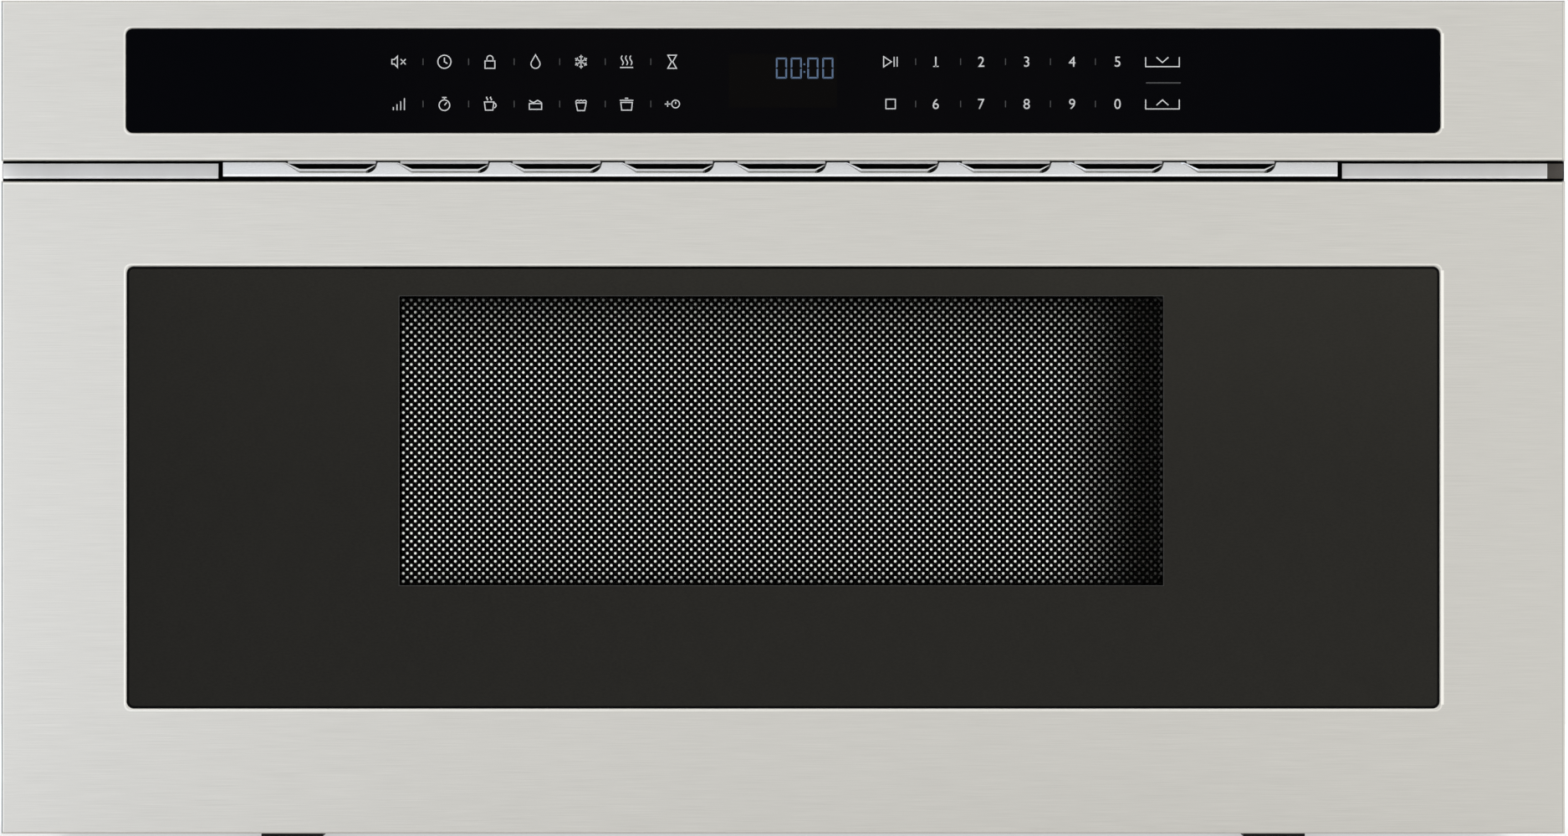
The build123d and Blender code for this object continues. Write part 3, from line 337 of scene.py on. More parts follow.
# ------------------------------------------------------------------ shared effects
def effect(name, outputs, **inputs):
    """Turns a function into one that places a shared node group and returns its outputs. The
    function itself fills the group once: it gets the group's tree and inputs, and returns what
    feeds each output.
    """
    def mark(build):
        def fill():
            group = bpy.data.node_groups.new(name, "ShaderNodeTree")
            for key, default in inputs.items():
                kind = "NodeSocketVector" if isinstance(default, tuple) else "NodeSocketFloat"
                made = group.interface.new_socket(
                    name=key.replace("_", " "), in_out="INPUT", socket_type=kind
                )
                made.default_value = default
            for key in outputs:
                group.interface.new_socket(name=key, in_out="OUTPUT", socket_type="NodeSocketFloat")
            given = group.nodes.new("NodeGroupInput").outputs
            result = group.nodes.new("NodeGroupOutput").inputs
            for socket, value in zip(result, build(group, given)):
                put(group, socket, value)
            return group

        def place(tree, **values):
            group = bpy.data.node_groups.get(name) or fill()
            return add(tree, "ShaderNodeGroup", node_tree=group, **values).outputs

        return place
    return mark


@effect("Brushed lines", ("Lines", "Height"), Spacing=(0.03, 0.0003, 0.0003), Bands=0.4)
def brushed_lines(group, given):
    """Fine lines along the longest side of the spacing, with broader bands under them."""
    place = vector_maths(group, "DIVIDE", object_place(group), given["Spacing"])
    wide = vector_maths(group, "MULTIPLY", place, (0.21, 0.09, 0.09))
    fine = add(group, "ShaderNodeTexNoise", Vector=place, Scale=1.0, Detail=3.0, Roughness=0.65)
    broad = add(group, "ShaderNodeTexNoise", Vector=wide, Scale=1.0, Detail=2.0, Roughness=0.5)
    mixed = add(group, "ShaderNodeMix", data_type="FLOAT")
    fed = (given["Bands"], fine.outputs["Fac"], broad.outputs["Fac"])
    for number, value in zip((0, 2, 3), fed):
        put(group, mixed.inputs[number], value)
    return mixed.outputs[0], fine.outputs["Fac"]


# a mask for lighter edges, used both as edge wear and as painted edge highlight
@effect("Edge wear and highlight", ("Mask",), Reach=0.0008, Break_up=0.5)
def edge_wear_and_highlight(group, given):
    """A mask that is 1 along rounded or sharp edges and breaks up a little along them."""
    rounded_normal = add(group, "ShaderNodeBevel", samples=4, Radius=given["Reach"]).outputs["Normal"]
    flat_normal = add(group, "ShaderNodeNewGeometry").outputs["True Normal"]
    facing = vector_maths(group, "DOT_PRODUCT", rounded_normal, flat_normal, output="Value")
    noise = add(group, "ShaderNodeTexNoise", Vector=object_place(group), Scale=90.0, Detail=4.0)
    turned = calculate(group, "SUBTRACT", 1.0, facing)
    strong = calculate(group, "MULTIPLY", turned, 8.0, clamp=True)
    gaps = both(group, noise.outputs["Fac"], given["Break up"])
    return [calculate(group, "SUBTRACT", strong, gaps, clamp=True)]


@effect("Moulded grain", ("Height", "Shade"), Grain=0.0006)
def moulded_grain(group, given):
    """The fine pebbled texture of a mould."""
    place = object_place(group)
    scale = calculate(group, "DIVIDE", 1.0, given["Grain"])
    pebbles = add(group, "ShaderNodeTexVoronoi", feature="SMOOTH_F1", Vector=place, Scale=scale)
    cloud = add(group, "ShaderNodeTexNoise", Vector=place, Scale=22.0, Detail=3.0)
    return pebbles.outputs["Distance"], cloud.outputs["Fac"]


@effect("Zinc spangle", ("Shade", "Edges"), Size=0.009)
def zinc_spangle(group, given):
    """Crystals of a zinc coat, each a little lighter or darker than the next."""
    place = object_place(group)
    warp = add(group, "ShaderNodeTexNoise", Vector=place, Scale=120.0, Detail=2.0).outputs["Color"]
    bent = vector_maths(group, "MULTIPLY_ADD", warp, (0.004, 0.004, 0.004), place)
    scale = calculate(group, "DIVIDE", 1.0, given["Size"])
    cells = add(group, "ShaderNodeTexVoronoi", Vector=bent, Scale=scale)
    edges = add(
        group, "ShaderNodeTexVoronoi", feature="DISTANCE_TO_EDGE", Vector=bent, Scale=scale
    )
    split = add(group, "ShaderNodeSeparateColor", Color=cells.outputs["Color"])
    return split.outputs[0], edges.outputs["Distance"]


@effect("Handling", ("Mask",), Size=0.08)
def handling(group, given):
    """Broad, faint smudges that hands and cloths leave."""
    scale = calculate(group, "DIVIDE", 1.0, given["Size"])
    noise = add(
        group, "ShaderNodeTexNoise", Vector=object_place(group), Scale=scale, Detail=5.0,
        Roughness=0.6, Distortion=0.6,
    )
    return [spread(group, noise.outputs["Fac"], 0.0, 1.0, 0.35, 0.7)]


@effect("Specks", ("Mask",), Spacing=0.002, Share=0.2)
def specks(group, given):
    """Small round specks scattered in an enamel or a mineral."""
    scale = calculate(group, "DIVIDE", 1.0, given["Spacing"])
    cells = add(group, "ShaderNodeTexVoronoi", Vector=object_place(group), Scale=scale)
    return [under(group, cells.outputs["Distance"], given["Share"])]


# ------------------------------------------------------------------ materials
MATERIALS = {}


def title(name):
    """A material's name as the material list shows it."""
    return name.replace("_", " ").capitalize()


def material(**values):
    """Makes a function the maker of the material of its name. It gets the node tree and the
    shader, on which these values, the same all over, are already set.
    """
    def mark(build):
        def make():
            made = bpy.data.materials.new(title(build.__name__))
            made.use_nodes = True
            tree = made.node_tree
            shader = tree.nodes["Principled BSDF"]
            feed(tree, shader, **values)
            build(tree, shader)
            return made

        MATERIALS[build.__name__] = make
        return make
    return mark


def finish(name):
    """A material by its name, built when it is first asked for."""
    return bpy.data.materials.get(title(name)) or MATERIALS[name]()


def colours():
    """The colours set in the sidebar."""
    return bpy.context.scene.drawer_colours


def sizes():
    """The sizes set in the sidebar."""
    return bpy.context.scene.drawer_sizes


def streaked(tree, lines, base, contrast, low=0.3, high=0.7):
    """A colour that is lighter and darker along brushed lines."""
    return varied(
        tree, spread(tree, lines["Lines"], 0.0, 1.0, low, high), base, 1 - contrast, 1 + contrast
    )


def metal(tree, shader, base, roughness, spacing, contrast):
    """A drawn metal with its lines along the longest side of the spacing."""
    lines = brushed_lines(tree, Spacing=spacing, Bands=0.4)
    dulled = both(tree, handling(tree, Size=0.12)["Mask"], 0.03)
    rough = spread(tree, lines["Lines"], roughness * 0.88, roughness * 1.12, 0.3, 0.7)
    feed(
        tree, shader, Metallic=1.0, Base_Color=streaked(tree, lines, base, contrast),
        Roughness=calculate(tree, "ADD", rough, dulled),
    )
    raise_surface(tree, shader, lines["Height"], 0.12, 0.00005)


def painted_edge_light_and_shade():
    """(x0, x1, z0, z1, factor) of narrow bands of painted highlight where the front's drawn edges
    catch the light, and of painted shade on the right edges.
    """
    skin_low, skin_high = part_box("drawer_skin")
    fascia_low, fascia_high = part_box("control_fascia")
    bands = [
        (skin_low.x, skin_high.x, skin_high.z - SLOT_BAND, skin_high.z, 1.25),
        (fascia_low.x, fascia_high.x, fascia_low.z, fascia_low.z + SLOT_BAND, 1.25),
        (fascia_low.x, fascia_high.x, fascia_high.z - TOP_BAND, fascia_high.z, 1.15),
    ]
    for low, high in ((skin_low, skin_high), (fascia_low, fascia_high)):
        bands.append((low.x, low.x + LEFT_BAND, low.z, high.z, 1.3))
        bands.append((high.x - RIGHT_BAND, high.x, low.z, high.z, 0.82))
    for x0, x1, z0, z1 in cut_outs():
        foot, head = z0 + CHAMFER_STRAIGHT, z1 - CHAMFER_STRAIGHT
        bands.append((x0 - CHAMFER_LEFT, x0, foot, head, 1.5))
        bands.append((x1, x1 + CHAMFER_RIGHT, foot, head, 1.55))
    return bands


def cut_outs():
    """(x0, x1, z0, z1) of the front's two cut-outs, where their chamfers meet the flat steel."""
    places = []
    for node, gap in (("window_glass", WINDOW_CHAMFER), ("control_glass", CONTROL_CHAMFER)):
        low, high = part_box(node)
        places.append((low.x - gap, high.x + gap, low.z - gap, high.z + gap))
    return places


def round_a_cut_out(tree, axes, edges, corner, width):
    """A mask for a band round a rectangle with round corners."""
    beyond = []
    for axis, low, high in (("X", *edges[:2]), ("Z", *edges[2:])):
        away = calculate(tree, "SUBTRACT", axes[axis], (low + high) / 2)
        away = calculate(tree, "ABSOLUTE", away)
        away = calculate(tree, "SUBTRACT", away, (high - low) / 2 - corner)
        away = calculate(tree, "MAXIMUM", away, 0.0)
        beyond.append(both(tree, away, away))
    reach = calculate(tree, "SQRT", calculate(tree, "ADD", *beyond))
    return between(tree, reach, corner, corner + width)


@material()
def brushed_steel(tree, shader):
    """Steel brushed along the width, with painted highlights on the cut-out edges and painted shade
    on the outer folds.
    """
    base = tuple(colours().steel)
    line = sizes().brush_line
    lines = brushed_lines(tree, Spacing=(120 * line, line, line), Bands=0.06)
    tint = streaked(tree, lines, base, 0.09, 0.32, 0.68)
    soft = spread(tree, handling(tree, Size=0.25)["Mask"], 0.0, 0.35)
    tint = mix(tree, soft, tint, shade(base, 0.97))
    axes = object_axes(tree)
    # painted highlight in a band round each cut-out's chamfer
    for edges in cut_outs():
        painted_chamfer_highlight = round_a_cut_out(tree, axes, edges, CHAMFER_CORNER, CHAMFER_BAND)
        tint = mix(tree, painted_chamfer_highlight, tint, shade(base, 1.27))
    # bands of painted highlight and shade along the drawn edges
    for *edges, factor in painted_edge_light_and_shade():
        tint = mix(tree, in_box(tree, axes, *edges), tint, shade(base, factor))
    sideways, upward, forward = face_directions(tree)
    # painted shade on the outer folds, darker the more a face turns from the front
    for least, most, factor in ((0.80, 0.985, 0.95), (0.30, 0.80, 0.7), (0.03, 0.30, 0.4)):
        tint = mix(tree, between(tree, forward, least, most), tint, shade(base, factor))
    # painted shade on the rolls that look up
    for least, most, factor in ((0.03, 0.75, 0.2), (0.75, 0.97, 0.6)):
        top_roll_painted_shade = both(tree, between(tree, forward, least, most), over(tree, upward, 0.2))
        tint = mix(tree, top_roll_painted_shade, tint, shade(base, factor))
    # painted shade, dark and cool, on the folds that look left
    left_roll_painted_shade = both(tree, between(tree, forward, 0.30, 0.97), under(tree, sideways, -0.2))
    tint = mix(tree, left_roll_painted_shade, tint, (0.20, 0.225, 0.25))
    # painted highlight on the cut-outs' 45-degree chamfers, which are only half metallic there
    cut = between(tree, forward, 0.703, 0.711)
    tint = mix(tree, cut, tint, shade(base, 1.5))
    rough = spread(tree, lines["Lines"], 0.30, 0.38, 0.3, 0.7)
    feed(tree, shader, Base_Color=tint, Roughness=rough, Metallic=spread(tree, cut, 1.0, 0.5))
    raise_surface(tree, shader, lines["Height"], 0.10, 0.00003)


def strip_steel(tree, shader, base, roughness, spacing, node, contrast):
    """Pressed strip with painted light and shade: painted highlights towards its foot, along its
    edges and on the louvres' sloping ends, painted light and shade in its creases, and painted shade
    on their right ends.
    """
    low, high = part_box(node)
    lines = brushed_lines(tree, Spacing=spacing, Bands=0.4)
    height = object_axes(tree)["Z"]
    # painted light: lighter towards the foot, darker towards the top
    painted_height_light = varied(tree, spread(tree, height, 0.0, 1.0, low.z, high.z), base, 1.08, 0.92)
    tint = mix(tree, 0.5, streaked(tree, lines, base, contrast), painted_height_light)
    # painted highlight along the edges
    painted_edge_highlight = edge_wear_and_highlight(tree, Reach=0.0005, Break_up=0.1)["Mask"]
    tint = mix(tree, painted_edge_highlight, tint, shade(base, 1.3))
    # painted highlight along the foot
    tint = mix(tree, under(tree, height, low.z + FOOT_BAND), tint, shade(base, 1.42))
    sideways, upward, forward = face_directions(tree)
    # painted light and shade on the creases under the lips
    straight = between(tree, sideways, -0.01, 0.01)
    for least, most, factor in ((0.02, 0.45, 1.5), (0.45, 0.75, 0.9)):
        crease_painted_light_and_shade = both(tree, between(tree, forward, least, most), straight)
        tint = mix(tree, crease_painted_light_and_shade, tint, shade(base, factor))
    # painted highlight on the louvres' sloping left ends, which are not metallic
    ramp = both(tree, between(tree, forward, 0.02, 0.85), between(tree, sideways, -0.9, -0.01))
    tint = mix(tree, ramp, tint, shade(base, 1.1))
    # near-white painted highlight under those sloping ends
    ramp_underside_painted_highlight = both(tree, ramp, under(tree, upward, -0.2))
    tint = mix(tree, ramp_underside_painted_highlight, tint, (0.98, 0.98, 1.0))
    # painted shade, nearly black, on faces that turn to the right
    turned = both(tree, between(tree, forward, 0.0, 0.93), over(tree, sideways, 0.1))
    tint = mix(tree, turned, tint, shade(base, 0.02))
    rough = spread(tree, lines["Lines"], roughness * 0.9, roughness * 1.1, 0.3, 0.7)
    feed(tree, shader, Base_Color=tint, Roughness=rough, Metallic=spread(tree, ramp, 1.0, 0.0))
    raise_surface(tree, shader, lines["Height"], 0.1, 0.00004)


@material()
def bright_steel(tree, shader):
    """Pressed bright steel of the louvred strip."""
    base = tuple(colours().strip)
    strip_steel(tree, shader, base, 0.27, (0.012, 0.0003, 0.0003), "vent_grille", 0.02)


@material()
def satin_steel(tree, shader):
    """Steel strips with upright lines."""
    base = tuple(colours().satin)
    strip_steel(tree, shader, base, 0.55, (0.0012, 0.0007, 0.02), "slot_trims", 0.05)


@material(Metallic=1.0)
def zinc_steel(tree, shader):
    """Zinc-coated sheet with its crystals."""
    base = tuple(colours().zinc)
    crystals = zinc_spangle(tree, Size=sizes().spangle)
    tint = varied(tree, crystals["Shade"], base, 0.86, 1.12)
    soft = spread(tree, handling(tree, Size=0.10)["Mask"], 0.0, 0.35)
    tint = mix(tree, soft, tint, shade(base, 0.78))
    tint = mix(tree, edge_wear_and_highlight(tree, Reach=0.0012)["Mask"], tint, shade(base, 1.35))
    feed(
        tree, shader, Base_Color=tint, Roughness=spread(tree, crystals["Shade"], 0.34, 0.50)
    )
    raise_surface(tree, shader, crystals["Edges"], 0.08, 0.0002)


@material()
def ball_steel(tree, shader):
    """Hardened balls and their pressed strips."""
    metal(tree, shader, (0.46, 0.46, 0.47), 0.2, (0.01, 0.0005, 0.0005), 0.04)


@material()
def screw_steel(tree, shader):
    """Plated screw heads."""
    metal(tree, shader, (0.62, 0.62, 0.61), 0.24, (0.0004, 0.0004, 0.0004), 0.05)


@material()
def bare_aluminium(tree, shader):
    """Mill-finish aluminium."""
    metal(tree, shader, (0.76, 0.76, 0.77), 0.33, (0.012, 0.0004, 0.0004), 0.06)


@material(Metallic=0.6, Roughness=0.45, Coat_Weight=0.3)
def core_steel(tree, shader):
    """Stacked laminations under varnish."""
    layers = add(
        tree, "ShaderNodeTexWave", wave_type="BANDS", bands_direction="Y",
        Vector=object_place(tree), Scale=320.0, Distortion=0.4, Detail=1.0,
    ).outputs["Fac"]
    tint = mix(tree, layers, (0.10, 0.095, 0.09), (0.24, 0.225, 0.21))
    tint = mix(tree, handling(tree, Size=0.03)["Mask"], tint, (0.15, 0.12, 0.09))
    feed(tree, shader, Base_Color=tint)
    raise_surface(tree, shader, layers, 0.3, 0.0002)


@material(Metallic=0.8, Roughness=0.3, Coat_Weight=0.6)
def copper_winding(tree, shader):
    """Rows of enamelled wire under varnish."""
    turns = add(
        tree, "ShaderNodeTexWave", wave_type="BANDS", bands_direction="Z",
        Vector=object_place(tree), Scale=260.0, Distortion=0.3, Detail=0.0,
    ).outputs["Fac"]
    feed(tree, shader, Base_Color=mix(tree, turns, (0.20, 0.06, 0.02), (0.62, 0.26, 0.10)))
    raise_surface(tree, shader, turns, 0.8, 0.0004)


def moulded(tree, shader, base, roughness, grain=0.0006):
    """A moulded plastic or rubber."""
    texture = moulded_grain(tree, Grain=grain)
    tint = varied(tree, texture["Shade"], base, 0.86, 1.14)
    tint = mix(tree, edge_wear_and_highlight(tree, Reach=0.0006)["Mask"], tint, shade(base, 1.5))
    rough = spread(tree, texture["Shade"], roughness - 0.06, roughness + 0.06)
    feed(tree, shader, Base_Color=tint, Roughness=rough)
    raise_surface(tree, shader, texture["Height"], 0.25, 0.00012)


@material(Specular_IOR_Level=0.06)
def black_plastic(tree, shader):
    """Dark moulded frames and housings."""
    moulded(tree, shader, tuple(colours().moulding), 0.6)


@material()
def brown_plastic(tree, shader):
    """The dark stop at the end of the air slot."""
    moulded(tree, shader, (0.090, 0.077, 0.066), 0.5)


@material()
def white_plastic(tree, shader):
    """Acetal of the rack, pinion and hooks."""
    moulded(tree, shader, (0.72, 0.72, 0.69), 0.38, 0.0009)


@material()
def black_rubber(tree, shader):
    """Runners and cord gland."""
    moulded(tree, shader, (0.022, 0.022, 0.022), 0.72, 0.0008)


def painted(tree, shader, base, roughness):
    """Powder coat or paint with a faint orange peel and lighter edges."""
    peel = moulded_grain(tree, Grain=0.0022)
    tint = varied(tree, peel["Shade"], base, 0.93, 1.07)
    tint = mix(tree, edge_wear_and_highlight(tree, Reach=0.0007)["Mask"], tint, shade(base, 1.7))
    smudges = handling(tree, Size=0.09)["Mask"]
    rough = spread(tree, smudges, roughness - 0.05, roughness + 0.06)
    feed(tree, shader, Base_Color=tint, Roughness=rough)
    raise_surface(tree, shader, peel["Height"], 0.15, 0.0001)


@material()
def painted_liner(tree, shader):
    """Dark grey coat behind the drawer front."""
    painted(tree, shader, (0.075, 0.075, 0.078), 0.42)


@material(Specular_IOR_Level=0.10)
def black_paint(tree, shader):
    """Powder coat of the front frame and of the gear motor."""
    painted(tree, shader, (0.006, 0.006, 0.0063), 0.55)


@material(Coat_Weight=0.25, Coat_Roughness=0.12)
def grey_enamel(tree, shader):
    """Light grey enamel with fine dark and pale specks."""
    base = tuple(colours().enamel)
    waves = moulded_grain(tree, Grain=0.006)
    tint = varied(tree, waves["Shade"], base, 0.95, 1.05)
    for spacing, share, factor in ((0.0021, 0.19, 0.42), (0.0033, 0.16, 1.45)):
        dots = specks(tree, Spacing=spacing, Share=share)["Mask"]
        tint = mix(tree, dots, tint, shade(base, factor))
    rough = spread(tree, handling(tree, Size=0.07)["Mask"], 0.24, 0.36)
    feed(tree, shader, Base_Color=tint, Roughness=rough)
    raise_surface(tree, shader, waves["Height"], 0.06, 0.0004)


@material(Coat_Weight=0.4, Coat_Roughness=0.06)
def glass_ceramic(tree, shader):
    """White glass ceramic of the bin's floor, polished by use."""
    cloud = handling(tree, Size=0.11)["Mask"]
    grit = specks(tree, Spacing=0.0016, Share=0.12)["Mask"]
    tint = mix(tree, cloud, (0.74, 0.74, 0.70), (0.79, 0.79, 0.76))
    tint = mix(tree, grit, tint, (0.62, 0.61, 0.58))
    feed(tree, shader, Base_Color=tint, Roughness=spread(tree, cloud, 0.16, 0.30))


def glass(tree, shader, smudge, roughness, clean, dull):
    """Clear glass with faint smudges."""
    smudges = handling(tree, Size=smudge)["Mask"]
    rough = spread(tree, smudges, 0.0, roughness)
    feed(tree, shader, Base_Color=mix(tree, smudges, clean, dull), Roughness=rough)


@material(Transmission_Weight=1.0, IOR=1.3)
def clear_glass(tree, shader):
    """Clear inner pane and bulb."""
    glass(tree, shader, 0.06, 0.05, (0.95, 0.97, 0.96), (0.90, 0.93, 0.92))


@material(Transmission_Weight=1.0, IOR=1.04)
def window_tint(tree, shader):
    """The clear, slightly smoked middle of the window."""
    glass(tree, shader, 0.14, 0.02, (0.97, 0.98, 0.97), (0.94, 0.95, 0.94))


@material(Specular_IOR_Level=0.12, Coat_Weight=0.0)
def window_border(tree, shader):
    """The smoked glass over its opaque border, with a painted reflection that makes it warmer and a
    little paler to the right and towards the top.
    """
    base = tuple(colours().border)
    low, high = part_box("window_glass")
    axes = object_axes(tree)
    # painted reflection: paler to the right and towards the top, broken up by a mottle
    across = spread(tree, axes["X"], 0.0, 1.0, low.x, high.x)
    across = spread(tree, calculate(tree, "SQRT", across), 0.12, 0.50)
    upward = spread(tree, axes["Z"], 1.0, 1.8, (low.z + high.z) / 2, high.z)
    painted_reflection_mottle = brushed_lines(tree, Spacing=(0.0018, 0.0018, 0.0009), Bands=0.2)["Lines"]
    painted_reflection_mottle = spread(tree, painted_reflection_mottle, -0.15, 0.15, 0.3, 0.7)
    level = calculate(tree, "ADD", both(tree, across, upward), painted_reflection_mottle)
    level = calculate(tree, "MAXIMUM", level, 0.0)
    smudges = handling(tree, Size=0.16)["Mask"]
    tint = varied(tree, level, base, 1.0, 3.5)
    tint = mix(tree, spread(tree, smudges, 0.0, 0.2), tint, shade(base, 1.6))
    feed(tree, shader, Base_Color=tint, Roughness=spread(tree, smudges, 0.07, 0.16))


@material(Roughness=0.4)
def frit_line(tree, shader):
    """The pale line where the border's print ends."""
    smudges = handling(tree, Size=0.03)["Mask"]
    feed(tree, shader, Base_Color=mix(tree, smudges, (0.020, 0.020, 0.017), (0.028, 0.028, 0.024)))


@material(Specular_IOR_Level=0.012)
def black_glass(tree, shader):
    """Polished glass over black, with a painted sheen that is paler towards the middle, and a faintly
    warmer field before the display.
    """
    low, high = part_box("display_module")
    axes = object_axes(tree)
    smudges = handling(tree, Size=0.10)["Mask"]
    # painted sheen, paler towards the middle, added to the smudges
    middle = spread(tree, calculate(tree, "ABSOLUTE", axes["X"]), 0.55, 0.0, 0.12, 0.26)
    faint = calculate(tree, "ADD", spread(tree, smudges, 0.0, 0.2), middle)
    tint = mix(tree, faint, tuple(colours().control), (0.0042, 0.0038, 0.0045))
    display = in_box(tree, axes, low.x, high.x, low.z, high.z)
    tint = mix(tree, display, tint, (0.0047, 0.0042, 0.0042))
    feed(tree, shader, Base_Color=tint, Roughness=spread(tree, smudges, 0.04, 0.12))


@material(Specular_IOR_Level=0.02)
def black_mesh(tree, shader):
    """Black enamel of the screen."""
    grain = moulded_grain(tree, Grain=0.0008)["Shade"]
    tint = mix(tree, grain, (0.0006, 0.0006, 0.0005), (0.0012, 0.0012, 0.001))
    feed(tree, shader, Base_Color=tint, Roughness=spread(tree, grain, 0.45, 0.6))


def fade(tree, place, edge, reach):
    """How far the painted glow has risen at a distance from an edge."""
    power = calculate(tree, "DIVIDE", calculate(tree, "SUBTRACT", edge, place), reach)
    return calculate(tree, "SUBTRACT", 1.0, calculate(tree, "EXPONENT", power), clamp=True)


@material(Base_Color=(0.02, 0.02, 0.02), Roughness=0.8, Emission_Strength=1.0)
def painted_cavity_glow(tree, shader):
    """A painted glow that stands in for the lit cavity as the screen's holes show it, with painted
    shade fading it to the right and at the edges.
    """
    x0, x1, z0, z1 = screen_field()
    axes = object_axes(tree)
    # painted shade where the cavity's right wall would be seen
    right = add(tree, "ShaderNodeValToRGB", Fac=spread(tree, axes["X"], 0.0, 1.0, x0, x1))
    right.color_ramp.interpolation = "EASE"
    first, last = right.color_ramp.elements
    first.position, first.color = 0.832, (1.0, 1.0, 1.0, 1.0)
    last.position, last.color = 0.975, (0.03, 0.03, 0.03, 1.0)
    # painted shade at the top, bottom and left edges
    level = both(tree, right.outputs["Color"], fade(tree, axes["Z"], z1, -GLOW_TOP))
    level = both(tree, level, fade(tree, axes["Z"], z0, GLOW_BOTTOM))
    level = both(tree, level, fade(tree, axes["X"], x0, GLOW_LEFT))
    cloud = add(tree, "ShaderNodeTexNoise", Vector=object_place(tree), Scale=14.0, Detail=2.0)
    level = both(tree, level, spread(tree, cloud.outputs["Fac"], 0.78, 0.88))
    feed(tree, shader, Emission_Color=mix(tree, level, (0.0, 0.0, 0.0), (1.0, 1.0, 0.975)))


@material(Roughness=0.5)
def screen_back(tree, shader):
    """The dark inner side of the screen, with its holes as dots."""
    dots = specks(tree, Spacing=sizes().hole_pitch, Share=0.3)["Mask"]
    feed(tree, shader, Base_Color=mix(tree, dots, (0.02, 0.02, 0.02), (0.004, 0.004, 0.004)))


def printed(tree, shader, base):
    """Screen print with the grain of its mesh."""
    grain = moulded_grain(tree, Grain=0.0003)["Shade"]
    feed(tree, shader, Base_Color=varied(tree, grain, base, 0.9, 1.1))


@material(Roughness=0.55, Specular_IOR_Level=0.1)
def key_print(tree, shader):
    """Print of the keys' signs and numbers."""
    printed(tree, shader, tuple(colours().print))


@material(Roughness=0.55, Specular_IOR_Level=0.1)
def faint_print(tree, shader):
    """Dimmer print of the lines between the keys."""
    printed(tree, shader, shade(colours().print, 0.11))


@material(Base_Color=(0.0, 0.0, 0.0), Emission_Strength=1.0)
def clock_light(tree, shader):
    """Lit bars of the clock."""
    cloud = moulded_grain(tree, Grain=0.0004)["Height"]
    feed(tree, shader, Emission_Color=varied(tree, cloud, tuple(colours().clock), 1.1, 0.8))


@material(Roughness=0.35)
def board_green(tree, shader):
    """Solder-masked laminate with its weave."""
    tracks = add(
        tree, "ShaderNodeTexBrick", Vector=object_place(tree), Scale=1.0, Mortar_Size=0.0005,
        Brick_Width=0.012, Row_Height=0.004, Color1=(0.030, 0.130, 0.060),
        Color2=(0.038, 0.160, 0.075), Mortar=(0.065, 0.230, 0.110),
    )
    feed(tree, shader, Base_Color=tracks.outputs["Color"])


@material(Roughness=0.38)
def mica_sheet(tree, shader):
    """Pressed mica with its flakes."""
    flakes = zinc_spangle(tree, Size=0.006)
    tint = mix(tree, flakes["Shade"], (0.36, 0.31, 0.23), (0.58, 0.52, 0.42))
    feed(tree, shader, Base_Color=tint)
    raise_surface(tree, shader, flakes["Edges"], 0.2, 0.0002)


def paint(*nodes):
    """Gives solid-model nodes the finish that their record names."""
    slots = {part["node"]: part["material_slot"] for part in frame["record"]["subparts"]}
    for node in nodes:
        mesh = frame["nodes"][node].data
        mesh.materials.clear()
        mesh.materials.append(finish(slots[node]))


# ------------------------------------------------------------------ shape helpers
def turn_outward(shape):
    """Makes every face of a closed shape look outward."""
    bmesh.ops.recalc_face_normals(shape, faces=shape.faces)


def new_object(name, mesh):
    """Puts a mesh or other data into the scene as an object."""
    made = bpy.data.objects.new(name, mesh)
    bpy.context.scene.collection.objects.link(made)
    return made


def new_mesh(name, shape):
    """Turns a bmesh into a mesh."""
    mesh = bpy.data.meshes.new(name)
    shape.to_mesh(mesh)
    shape.free()
    return mesh


def new_piece(name, shape, body, slot, *materials, closed=True):
    """Turns a bmesh into a piece that rides on a body and takes the finishes listed after the slot;
    the slot itself is not used. A closed shape first has its faces turned outward.
    """
    if closed:
        turn_outward(shape)
    piece = new_object(name, new_mesh(name, shape))
    for material_name in materials:
        piece.data.materials.append(finish(material_name))
    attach(piece, body)
    return piece


def slab(shape, x0, x1, y0, y1, z0, z1):
    """Adds a box between two corners."""
    corners = [shape.verts.new((x, y, z)) for x in (x0, x1) for y in (y0, y1) for z in (z0, z1)]
    sides = ((0, 1, 3, 2), (4, 6, 7, 5), (0, 4, 5, 1), (2, 3, 7, 6), (0, 2, 6, 4), (1, 5, 7, 3))
    for side in sides:
        shape.faces.new([corners[i] for i in side])


def plate(shape, outline, y0, y1):
    """Adds a plate from y0 to y1 with an outline of (x, z) points."""
    front = [shape.verts.new((x, y0, z)) for x, z in outline]
    back = [shape.verts.new((x, y1, z)) for x, z in outline]
    shape.faces.new(front)
    shape.faces.new(reversed(back))
    for i in range(len(outline)):
        j = (i + 1) % len(outline)
        shape.faces.new((front[j], front[i], back[i], back[j]))


def rings(shape, outlines):
    """Adds a closed band through (outline, y) pairs whose outlines have as many (x, z) points."""
    rows = [[shape.verts.new((x, y, z)) for x, z in outline] for outline, y in outlines]
    count = len(rows[0])
    for i in range(count):
        j = (i + 1) % count
        for a, b in zip(rows, rows[1:] + rows[:1]):
            shape.faces.new((a[i], a[j], b[j], b[i]))


def ring(shape, outer, inner, y0, y1):
    """Adds a flat ring from y0 to y1 between two outlines."""
    rings(shape, ((outer, y0), (inner, y0), (inner, y1), (outer, y1)))


